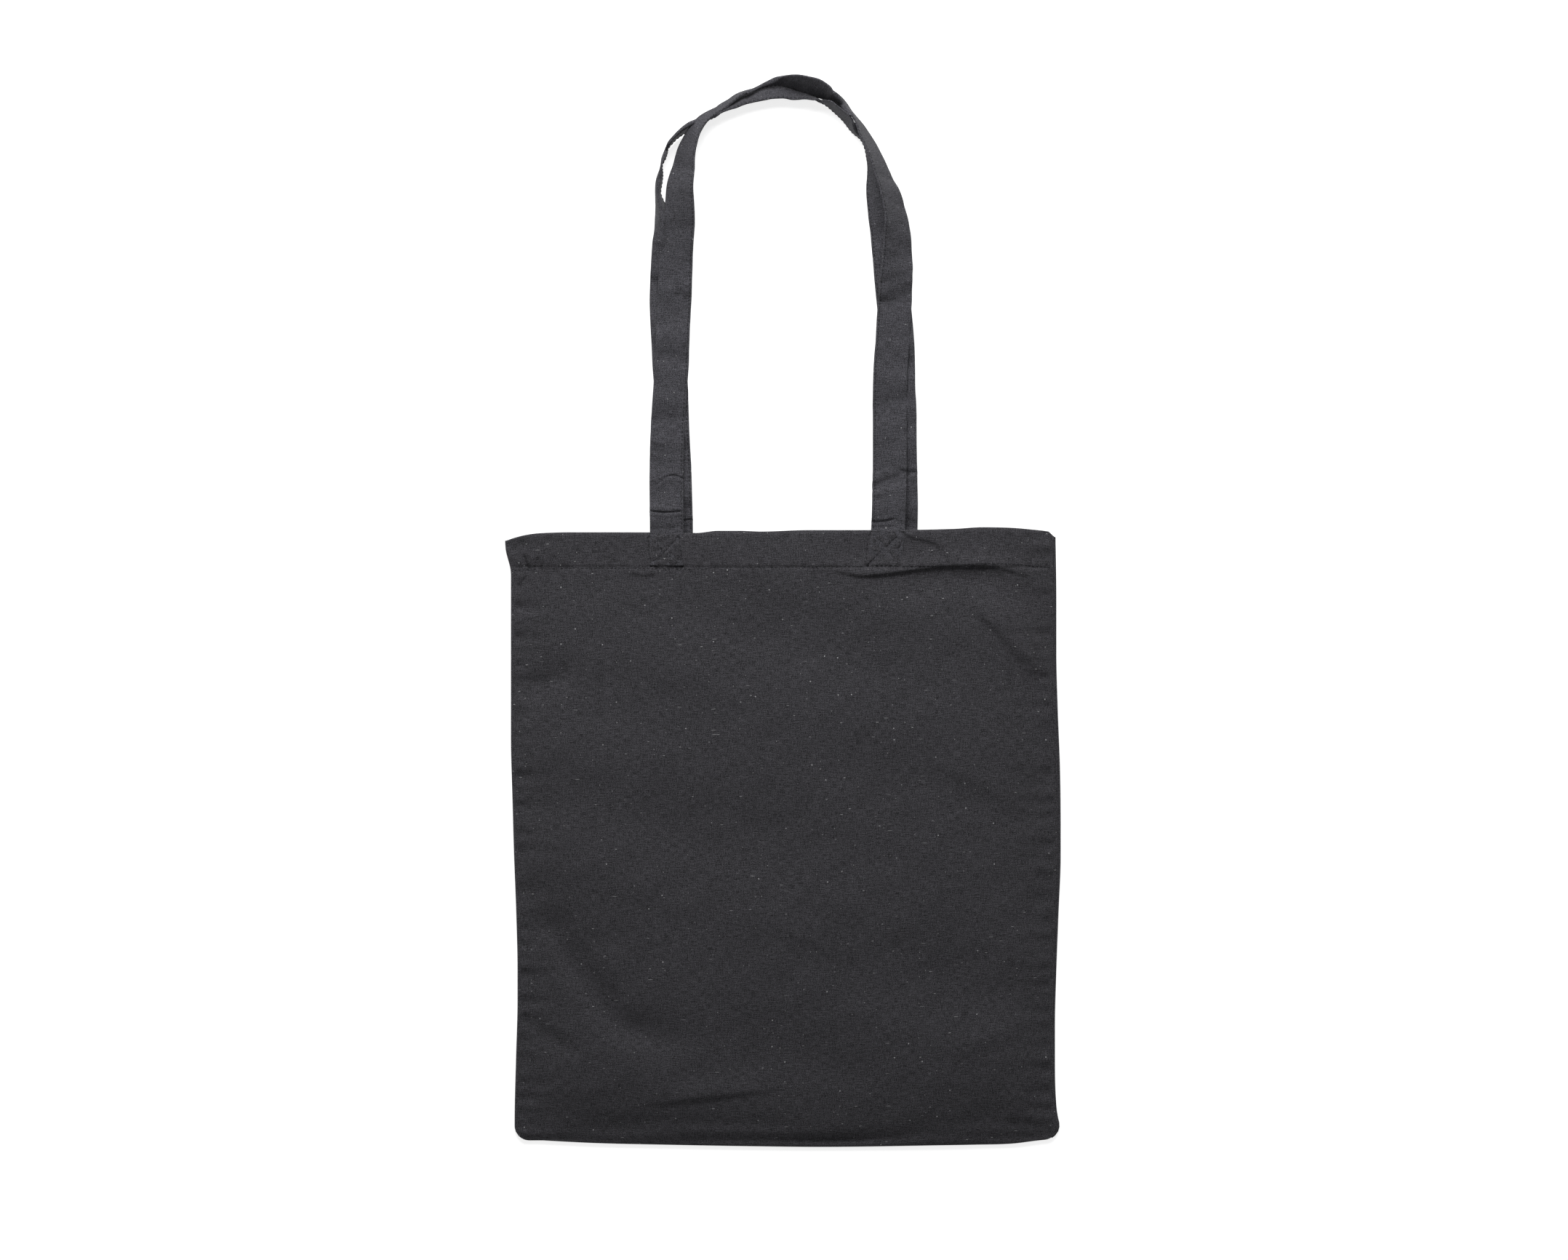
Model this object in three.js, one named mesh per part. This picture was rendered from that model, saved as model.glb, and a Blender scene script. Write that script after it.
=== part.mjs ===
// Canvas tote bag laid flat on its back panel, with both handles stretched out beyond its mouth.
// Millimetres. +X runs across the bag, +Y from the bottom fold towards the handles, +Z up out of
// the front panel. The bag is a back and a front panel joined by a bottom fold, with turned-in side
// seams, an inner hem round the mouth, and two strap handles sewn inside the hem with crossed boxes.
import * as THREE from "three";

// Body of the bag
const BAG_WIDTH = 380;
const BAG_HEIGHT = 428;
const BAG_LOFT = 12; // height of the laid bag over its flat middle
const FLANK_RUN = 28; // distance over which the front panel climbs from an edge to that height
const CORNER_RADIUS = 10;
const CLOTH = 0.5; // one layer of canvas
const GAP = 0.3; // clearance between pieces that lie on each other

// Hem, seams and threads
const HEM_DEPTH = 25;
const HEM_STITCH_INSET = 0.1; // from a hem's lower edge to its row of stitches
const SEAM_ALLOWANCE = 9;
const OVERLOCK_WIDTH = 1.6;
const THREAD_WIDTH = 0.7;
const THREAD_HEIGHT = 0.3;

// Handles
const STRAP_WIDTH = 23.5;
const STRAP_THICKNESS = 1.4;
const HANDLE_SPACING = 155; // between the centres of a handle's two roots
const HANDLE_REACH = 316; // how far a loop reaches beyond the mouth
const HANDLE_SHIFT = -3.5; // middle of the front handle, from the middle of the bag
const BACK_HANDLE_OFFSET = 7; // middle of the back handle, from the middle of the front one
const TAIL_CLEARANCE = 1.2; // from a hem's lower edge to the end of a tail
const BOX_MARGIN = 1.2; // from the edge of a tail to its box of stitching
const EDGE_STITCH_INSET = 1.6; // from a strap's inner edge to its row of stitches
const ROOT_RUN = 79; // distance over which a loop comes down from the mouth to where it lies
const STRAP_STEPS = 110;

// Heights of the layers at the closed side edges and over the flat middle
const EDGE_HEIGHT = 4 * CLOTH + 3 * GAP;
const HEM_DROP = CLOTH + GAP; // from a panel's outer face to its hem's outer face
const TAIL_DROP = 2 * HEM_DROP; // from a panel's outer face to the face of a tail
const TAIL_LENGTH = HEM_DEPTH - TAIL_CLEARANCE;
const FRONT_TAIL_HEIGHT = BAG_LOFT - TAIL_DROP - STRAP_THICKNESS;
const FRONT_LOOP_HEIGHT = STRAP_THICKNESS + THREAD_HEIGHT + 2 * GAP; // it lies on the back loop
const HALF_WIDTH = BAG_WIDTH / 2;
const FOLD_DEPTH = EDGE_HEIGHT / 2; // how far the bottom fold stands out below the panels

const CANVAS = new THREE.Color(0x37363a);
const WEBBING = new THREE.Color(0x49484d);
const THREAD = new THREE.Color(0x2b2b2e);

// Routes of the two loops. Each station gives: across, as a share of the root spacing from the
// handle's middle; along, as a share of the reach from the mouth; roll in degrees, where 0 lies flat
// and plus raises the outer edge; lift above where the loop lies, as a share of the strap's width; and
// spread, the share of the strap's width that isn't folded under. The place is the strap's middle
// where it lies flat, and moves towards its lower edge where it is rolled.
const FRONT_ROUTE = [
  [-0.5, 0, 0, 0, 1],
  [-0.496, 0.07, 0, 0, 1],
  [-0.491, 0.2, 0, 0, 1],
  [-0.481, 0.37, 0, 0, 1],
  [-0.469, 0.5, 0, 0.03, 1],
  [-0.444, 0.63, 6, 0.18, 1],
  [-0.451, 0.716, -12, 0.29, 1],
  [-0.457, 0.803, -44, 0.33, 1],
  [-0.428, 0.862, -52, 0.5, 1],
  [-0.366, 0.902, -66, 0.58, 1],
  [-0.284, 0.93, -77, 0.54, 1],
  [-0.185, 0.954, -84, 0.29, 1],
  [-0.089, 0.975, -91, 0.03, 1],
  [0.002, 0.981, -101, 0, 1],
  [0.087, 0.977, -109, 0, 1],
  [0.159, 0.964, -114, 0, 1],
  [0.222, 0.947, -110, 0, 1],
  [0.281, 0.93, -97, 0, 1],
  [0.34, 0.91, -86, 0, 1],
  [0.385, 0.89, -76, 0, 1],
  [0.431, 0.861, -66, 0.09, 1],
  [0.482, 0.806, -57, 0.16, 1],
  [0.542, 0.729, -44, 0.16, 1],
  [0.568, 0.631, -30, 0.11, 1],
  [0.536, 0.53, -8, 0.05, 1],
  [0.518, 0.4, 0, 0, 1],
  [0.511, 0.25, 0, 0, 1],
  [0.504, 0.09, 0, 0, 1],
  [0.5, 0, 0, 0, 1],
];
const BACK_ROUTE = [
  [-0.5, 0, 0, 0, 1],
  [-0.506, 0.09, 0, 0, 1],
  [-0.52, 0.23, 0, 0, 1],
  [-0.532, 0.4, 0, 0, 1],
  [-0.538, 0.56, 0, 0, 1],
  [-0.535, 0.656, 16, 0, 0.85],
  [-0.55, 0.721, 62, 0, 0.8],
  [-0.568, 0.77, 84, 0, 1],
  [-0.565, 0.81, 92, 0, 1],
  [-0.535, 0.845, 90, 0, 1],
  [-0.481, 0.873, 84, 0, 0.8],
  [-0.424, 0.892, 88, 0, 0.52],
  [-0.351, 0.91, 95, 0, 0.5],
  [-0.273, 0.927, 102, 0, 0.55],
  [-0.169, 0.951, 104, 0, 0.8],
  [-0.062, 0.966, 107, 0, 1],
  [0.043, 0.963, 106, 0, 1],
  [0.113, 0.95, 98, 0, 1],
  [0.166, 0.937, 91, 0, 1],
  [0.218, 0.912, 82, 0, 1],
  [0.268, 0.888, 82, 0, 0.9],
  [0.311, 0.862, 84, 0, 0.6],
  [0.345, 0.817, 60, 0, 0.5],
  [0.385, 0.757, 32, 0, 0.62],
  [0.427, 0.679, 10, 0, 1],
  [0.461, 0.58, 2, 0, 1],
  [0.48, 0.45, 0, 0, 1],
  [0.497, 0.27, 0, 0, 1],
  [0.502, 0.09, 0, 0, 1],
  [0.5, 0, 0, 0, 1],
];

function material(color) {
  return new THREE.MeshStandardMaterial({ color, roughness: 0.95, metalness: 0 });
}

function named(name, geometry, color) {
  const mesh = new THREE.Mesh(geometry, material(color));
  mesh.name = name;
  return mesh;
}

// Lowers each vertex of a finely cut box onto its place: across, along and up are -0.5 to 0.5.
function bentBox(columns, rows, place) {
  const geometry = new THREE.BoxGeometry(1, 1, 1, columns, rows, 1);
  const positions = geometry.getAttribute("position");
  const unit = new THREE.Vector3();
  for (let i = 0; i < positions.count; i += 1) {
    unit.fromBufferAttribute(positions, i);
    positions.setXYZ(i, ...place(unit.x, unit.y, unit.z));
  }
  geometry.computeVertexNormals();
  return geometry;
}

function block(x0, x1, y0, y1, z0, z1) {
  const geometry = new THREE.BoxGeometry(x1 - x0, y1 - y0, z1 - z0);
  return geometry.translate((x0 + x1) / 2, (y0 + y1) / 2, (z0 + z1) / 2);
}

// Outer height of the front panel, given the distance to the nearest closed edge.
function loftAt(inset) {
  const climb = Math.min(Math.max(inset / FLANK_RUN, 0), 1);
  return EDGE_HEIGHT + (BAG_LOFT - EDGE_HEIGHT) * climb;
}

// Half of the bag's width at a height above the bottom edge, narrowed by the round corners.
function halfWidthAt(above) {
  const depth = Math.min(Math.max(CORNER_RADIUS - above, 0), CORNER_RADIUS);
  return HALF_WIDTH - CORNER_RADIUS + Math.sqrt(CORNER_RADIUS ** 2 - depth ** 2);
}

// A layer of the front: it follows the front panel's flanks at a given depth below its outer face.
function frontLayer(stops, drop, thickness) {
  const flankShare = FLANK_RUN / BAG_WIDTH;
  const shares = [-0.5, -0.5 + flankShare, 0, 0.5 - flankShare, 0.5];
  return bentBox(shares.length - 1, stops.length - 1, (across, along, up) => {
    const column = Math.round((across + 0.5) * (shares.length - 1));
    const above = stops[Math.round((along + 0.5) * (stops.length - 1))];
    const half = halfWidthAt(above);
    const x = shares[column] * 2 * (Math.abs(shares[column]) === 0.5 ? half : HALF_WIDTH);
    const z = loftAt(Math.min(half - Math.abs(x), above)) - drop;
    return [x, above, up > 0 ? z : z - thickness];
  });
}

function backPanel() {
  const outline = new THREE.Shape();
  const low = FOLD_DEPTH + GAP;
  outline.moveTo(-HALF_WIDTH, BAG_HEIGHT);
  outline.lineTo(-HALF_WIDTH, CORNER_RADIUS);
  outline.quadraticCurveTo(-HALF_WIDTH, low, -HALF_WIDTH + CORNER_RADIUS, low);
  outline.lineTo(HALF_WIDTH - CORNER_RADIUS, low);
  outline.quadraticCurveTo(HALF_WIDTH, low, HALF_WIDTH, CORNER_RADIUS);
  outline.lineTo(HALF_WIDTH, BAG_HEIGHT);
  const solid = { depth: CLOTH, bevelEnabled: false, curveSegments: 6 };
  return named("back_panel", new THREE.ExtrudeGeometry(outline, solid), CANVAS);
}

function frontPanel() {
  const low = FOLD_DEPTH + GAP;
  const stops = [low, CORNER_RADIUS / 2, CORNER_RADIUS, FLANK_RUN, BAG_HEIGHT - HEM_DEPTH, BAG_HEIGHT];
  return named("front_panel", frontLayer(stops, 0, CLOTH), CANVAS);
}

// The turned cloth between the two panels: a half ring swept along the bottom edge.
function bottomFold() {
  const ring = new THREE.Shape();
  ring.absarc(0, 0, FOLD_DEPTH, Math.PI / 2, -Math.PI / 2, false);
  ring.absarc(0, 0, FOLD_DEPTH - CLOTH, -Math.PI / 2, Math.PI / 2, true);
  ring.closePath();
  const length = BAG_WIDTH - 2 * CORNER_RADIUS;
  const sweep = { depth: length, bevelEnabled: false, curveSegments: 8 };
  const geometry = new THREE.ExtrudeGeometry(ring, sweep);
  geometry.translate(0, 0, -length / 2);
  geometry.rotateY(Math.PI / 2);
  geometry.rotateX(Math.PI / 2);
  geometry.computeBoundingBox();
  const box = geometry.boundingBox;
  geometry.translate(0, -box.min.y, -box.min.z);
  return named("bottom_fold", geometry, CANVAS);
}

function hems() {
  const stops = [BAG_HEIGHT - HEM_DEPTH, BAG_HEIGHT];
  const back = block(-HALF_WIDTH, HALF_WIDTH, ...stops, HEM_DROP, HEM_DROP + CLOTH);
  return [
    named("front_hem", frontLayer(stops, HEM_DROP, CLOTH), CANVAS),
    named("back_hem", back, CANVAS),
  ];
}

// A strip along one side edge inside the bag, between two distances from the bag's middle line.
function sideStrip(side, inner, outer) {
  const [low, high] = side < 0 ? [-outer, -inner] : [inner, outer];
  const stops = [CORNER_RADIUS + GAP, BAG_HEIGHT - HEM_DEPTH - GAP];
  return block(low, high, ...stops, HEM_DROP, EDGE_HEIGHT - HEM_DROP);
}

// A seam allowance turned inside along a side edge, and the overlock thread along its raw edge.
function sideSeam(name, side) {
  const raw = HALF_WIDTH - SEAM_ALLOWANCE;
  return [
    named(`${name}_side_seam`, sideStrip(side, raw, HALF_WIDTH), CANVAS),
    named(`${name}_seam_overlock`, sideStrip(side, raw - GAP - OVERLOCK_WIDTH, raw - GAP), THREAD),
  ];
}

// Stitch rows that hold the two hems: one on the front's outer face, one inside on the back hem.
function hemStitches() {
  const low = BAG_HEIGHT - HEM_DEPTH + HEM_STITCH_INSET;
  const stops = [low, low + THREAD_WIDTH];
  const reach = HALF_WIDTH - SEAM_ALLOWANCE;
  const onHem = HEM_DROP + CLOTH + GAP;
  return [
    named("front_hem_stitch", frontLayer(stops, -GAP - THREAD_HEIGHT, THREAD_HEIGHT), THREAD),
    named("back_hem_stitch", block(-reach, reach, ...stops, onHem, onHem + THREAD_HEIGHT), THREAD),
  ];
}

// A tail of strap inside the hem, and the box with crossed diagonals that sews it on.
function sewnRoot(name, x, tailBottom, boxBottom) {
  const half = STRAP_WIDTH / 2;
  const tail = block(x - half, x + half, BAG_HEIGHT - TAIL_LENGTH, BAG_HEIGHT,
    tailBottom, tailBottom + STRAP_THICKNESS);
  const box = crossedBox(STRAP_WIDTH - 2 * BOX_MARGIN, TAIL_LENGTH - 2 * BOX_MARGIN);
  box.translate(x, BAG_HEIGHT - TAIL_LENGTH / 2, boxBottom);
  return [named(`${name}_tail`, tail, WEBBING), named(`${name}_box_stitch`, box, THREAD)];
}

// A square frame with both diagonals: a plate with four triangular openings.
function crossedBox(width, height) {
  const x = width / 2;
  const y = height / 2;
  const plate = new THREE.Shape();
  plate.moveTo(-x, -y);
  plate.lineTo(x, -y);
  plate.lineTo(x, y);
  plate.lineTo(-x, y);
  const near = THREAD_WIDTH * 0.8; // from the centre to an opening's tip
  const side = THREAD_WIDTH * 1.8; // from a corner to an opening's end, along the frame
  for (const [ux, uy] of [[1, 0], [0, 1], [-1, 0], [0, -1]]) {
    const opening = new THREE.Path();
    opening.moveTo(ux * near, uy * near);
    const end = (turn) => [
      ux * (x - THREAD_WIDTH) + uy * turn * (x - side),
      uy * (y - THREAD_WIDTH) - ux * turn * (y - side),
    ];
    opening.lineTo(...end(1));
    opening.lineTo(...end(-1));
    opening.closePath();
    plate.holes.push(opening);
  }
  return new THREE.ExtrudeGeometry(plate, { depth: THREAD_HEIGHT, bevelEnabled: false });
}

// Smooth course of a strap: where it runs, how it is rolled, how high it lies and how far it is spread.
function course(route, middle, rootHeight, lieHeight) {
  const places = route.map(([across, along]) => new THREE.Vector2(
    middle + across * HANDLE_SPACING,
    BAG_HEIGHT + GAP + along * HANDLE_REACH,
  ));
  const distances = [0];
  for (let i = 1; i < places.length; i += 1) {
    distances.push(distances[i - 1] + places[i].distanceTo(places[i - 1]));
  }
  const values = route.flatMap((station, i) => [...places[i].toArray(), ...station.slice(2)]);
  const curve = new THREE.CubicInterpolant(distances, values, 5);
  const length = distances.at(-1);
  return (share) => {
    const [x, y, roll, lift, spread] = curve.evaluate(share * length);
    const fallen = THREE.MathUtils.smoothstep(y - BAG_HEIGHT - GAP, 0, ROOT_RUN);
    const height = rootHeight + (lieHeight - rootHeight) * fallen + Math.max(lift, 0) * STRAP_WIDTH;
    return { x, y, spread, height, angle: THREE.MathUtils.degToRad(roll) };
  };
}

// A flat band along a course, shifted towards the strap's inner edge and raised off its middle.
function band(at, width, thickness, shift, rise) {
  return bentBox(1, STRAP_STEPS, (across, along, up) => {
    const share = Math.min(Math.max(along + 0.5, 0), 1);
    const { x, y, spread, height, angle } = at(share);
    const ahead = at(Math.min(share + 0.002, 1));
    const behind = at(Math.max(share - 0.002, 0));
    const heading = new THREE.Vector2(ahead.x - behind.x, ahead.y - behind.y).normalize();
    if (share === 0 || share === 1) {
      heading.set(0, share === 0 ? 1 : -1); // a strap leaves the mouth square to it
    }
    const sine = Math.sin(angle);
    const cosine = Math.cos(angle);
    const out = new THREE.Vector3(-heading.y * cosine, heading.x * cosine, sine);
    const face = new THREE.Vector3(heading.y * sine, -heading.x * sine, cosine);
    const halfWidth = STRAP_WIDTH * spread / 2;
    const halfHeight = halfWidth * Math.abs(sine) + STRAP_THICKNESS * Math.abs(cosine) / 2;
    const place = new THREE.Vector3(x, y, height + halfHeight);
    place.x -= heading.y * sine * cosine * halfWidth;
    place.y += heading.x * sine * cosine * halfWidth;
    const inward = (across * width + shift) * spread;
    place.addScaledVector(out, -inward).addScaledVector(face, up * thickness + rise);
    return place.toArray();
  });
}

function handle(name, route, middle, rootHeight, lieHeight) {
  const at = course(route, middle, rootHeight, lieHeight);
  const shift = STRAP_WIDTH / 2 - EDGE_STITCH_INSET;
  const rise = STRAP_THICKNESS / 2 + GAP + THREAD_HEIGHT / 2;
  return [
    named(`${name}_handle`, band(at, STRAP_WIDTH, STRAP_THICKNESS, 0, 0), WEBBING),
    named(`${name}_handle_edge_stitch`, band(at, THREAD_WIDTH, THREAD_HEIGHT, shift, rise), THREAD),
  ];
}

function toteBag() {
  const model = new THREE.Group();
  const frontMiddle = HANDLE_SHIFT;
  const backMiddle = HANDLE_SHIFT + BACK_HANDLE_OFFSET;
  model.add(backPanel(), bottomFold(), frontPanel(), ...hems(), ...hemStitches());
  for (const [name, side] of [["left", -1], ["right", 1]]) {
    const root = side * HANDLE_SPACING / 2;
    model.add(...sideSeam(name, side));
    model.add(...sewnRoot(`front_${name}`, frontMiddle + root, FRONT_TAIL_HEIGHT, BAG_LOFT + GAP));
    model.add(...sewnRoot(`back_${name}`, backMiddle + root, TAIL_DROP, TAIL_DROP + STRAP_THICKNESS + GAP));
  }
  model.add(...handle("front", FRONT_ROUTE, frontMiddle, FRONT_TAIL_HEIGHT, FRONT_LOOP_HEIGHT));
  model.add(...handle("back", BACK_ROUTE, backMiddle, TAIL_DROP, 0));
  // The frame's origin lies on the floor under the middle of the whole outline.
  const outline = new THREE.Box3().setFromObject(model, true);
  const middle = outline.getCenter(new THREE.Vector3());
  model.position.set(-middle.x, -middle.y, -outline.min.z);
  return model;
}

export default toteBag();
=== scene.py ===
"""Canvas tote bag laid flat on its back, with both strap handles stretched out beyond its mouth."""
import logging
import math
from dataclasses import dataclass, field
from enum import Enum
from typing import Any, Sequence

import bpy
import numpy as np
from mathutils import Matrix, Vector


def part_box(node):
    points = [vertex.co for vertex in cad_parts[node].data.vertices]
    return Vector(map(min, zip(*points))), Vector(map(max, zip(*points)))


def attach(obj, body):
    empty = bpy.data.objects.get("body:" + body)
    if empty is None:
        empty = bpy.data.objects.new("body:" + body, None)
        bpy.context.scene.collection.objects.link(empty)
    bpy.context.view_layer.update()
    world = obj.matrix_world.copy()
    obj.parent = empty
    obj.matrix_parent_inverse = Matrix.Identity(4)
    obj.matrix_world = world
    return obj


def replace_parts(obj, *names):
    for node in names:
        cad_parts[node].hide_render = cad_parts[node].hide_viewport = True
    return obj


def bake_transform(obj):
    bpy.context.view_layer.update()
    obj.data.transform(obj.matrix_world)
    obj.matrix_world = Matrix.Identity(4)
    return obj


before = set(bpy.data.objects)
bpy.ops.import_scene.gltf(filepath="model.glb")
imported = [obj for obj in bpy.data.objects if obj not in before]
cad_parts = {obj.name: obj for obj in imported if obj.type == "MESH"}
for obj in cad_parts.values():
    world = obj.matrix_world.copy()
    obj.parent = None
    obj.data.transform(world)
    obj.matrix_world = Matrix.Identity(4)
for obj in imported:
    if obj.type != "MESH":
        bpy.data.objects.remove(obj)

MM = 0.001
CLOTH_MAP = "Cloth"  # the UV map that says where a point lies on the flat cloth, in millimetres
WEAR_AND_HIGHLIGHT = "wear_and_highlight"  # the vertex attribute that says how much lighter a point is painted, from 0 to 1: rubbing and painted highlight on rolled edges

Array = np.ndarray
log = logging.getLogger("tote_bag")


# ---------------------------------------------------------------------------------------------
# Shader maths


class Signal:
    """A shader socket that can be used in arithmetic; each operation adds a Math node."""

    def __init__(self, kit: "NodeKit", socket: bpy.types.NodeSocket) -> None:
        self.kit = kit
        self.socket = socket

    def _math(self, operation: str, *values: Any, clamp: bool = False) -> "Signal":
        """Adds one Math node.

        Args:
            operation: the Math node's operation.
            values: its inputs in order, numbers or signals.
            clamp: whether the result is held between 0 and 1.

        Returns:
            The node's result.
        """
        settings = {"operation": operation, "use_clamp": clamp}
        return self.kit.add("ShaderNodeMath", settings, dict(enumerate(values)))

    def __add__(self, other: Any) -> "Signal":
        """self + other."""
        return self._math("ADD", self, other)

    def __radd__(self, other: Any) -> "Signal":
        """other + self."""
        return self._math("ADD", other, self)

    def __sub__(self, other: Any) -> "Signal":
        """self - other."""
        return self._math("SUBTRACT", self, other)

    def __rsub__(self, other: Any) -> "Signal":
        """other - self."""
        return self._math("SUBTRACT", other, self)

    def __mul__(self, other: Any) -> "Signal":
        """self * other."""
        return self._math("MULTIPLY", self, other)

    def __rmul__(self, other: Any) -> "Signal":
        """other * self."""
        return self._math("MULTIPLY", other, self)

    def __truediv__(self, other: Any) -> "Signal":
        """self / other."""
        return self._math("DIVIDE", self, other)

    def sine(self) -> "Signal":
        """The sine of the signal, in radians."""
        return self._math("SINE", self)

    def over(self, floor: float) -> "Signal":
        """The signal, or the floor where that is higher."""
        return self._math("MAXIMUM", self, floor)

    def below(self, level: float) -> "Signal":
        """1 where the signal is under the level, and 0 elsewhere."""
        return self._math("LESS_THAN", self, level)

    def held(self) -> "Signal":
        """The signal held between 0 and 1."""
        return self._math("ADD", self, 0.0, clamp=True)


class NodeKit:
    """Adds nodes to one material's tree."""

    def __init__(self, tree: bpy.types.NodeTree) -> None:
        """Keeps the tree that nodes are added to."""
        self.tree = tree

    def add(self, kind: str, settings: dict[str, Any], values: dict[Any, Any], out: Any = 0) -> Signal:
        """Adds a node, sets it up, then fills its sockets.

        Args:
            kind: the node's type.
            settings: its properties, set before any socket.
            values: a number, colour or signal for each socket, by name or place.
            out: the output to return, by name or place.

        Returns:
            That output as a signal.
        """
        node = self.tree.nodes.new(kind)
        for name, value in settings.items():
            setattr(node, name, value)
        for name, value in values.items():
            if isinstance(value, Signal):
                self.tree.links.new(value.socket, node.inputs[name])
            else:
                node.inputs[name].default_value = value
        return Signal(self, node.outputs[out])

    def noise(self, where: Signal, scale: float, detail: float = 2.0) -> Signal:
        """Soft noise around 0.5 with blotches about 1 / scale apart."""
        values = {"Vector": where, "Scale": scale, "Detail": detail, "Roughness": 0.6}
        return self.add("ShaderNodeTexNoise", {"noise_dimensions": "3D"}, values, "Fac")

    def stretched(self, where: Signal, scale: tuple[float, float], turn: float = 0.0) -> Signal:
        """The place scaled along each cloth direction after a turn in radians."""
        values = {"Vector": where, "Rotation": (0, 0, turn), "Scale": (*scale, 1)}
        return self.add("ShaderNodeMapping", {"vector_type": "POINT"}, values)

    def colour_mix(self, factor: Signal, first: Any, second: Any) -> Signal:
        """A colour between two others."""
        return self.add("ShaderNodeMix", {"data_type": "RGBA"}, {0: factor, 6: first, 7: second}, 2)


# ---------------------------------------------------------------------------------------------
# Finishes


class Slot(Enum):
    """The record's material slots."""

    CANVAS = "canvas"
    WEBBING = "webbing"
    THREAD = "thread"


@dataclass(frozen=True)
class Lint:
    """One kind of white fluff caught in the cloth."""

    spacing: float  # distance between the spots where a speck may be, in millimetres
    size: float  # radius of a speck in millimetres
    kept: float  # share of the spots that have one
    strength: float  # how white it is
    squeeze: float = 1.0  # how far the pattern is squeezed along a fibre, which draws specks out
    turn: float = 0.0  # radians from the cloth's width to the fibre


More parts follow.
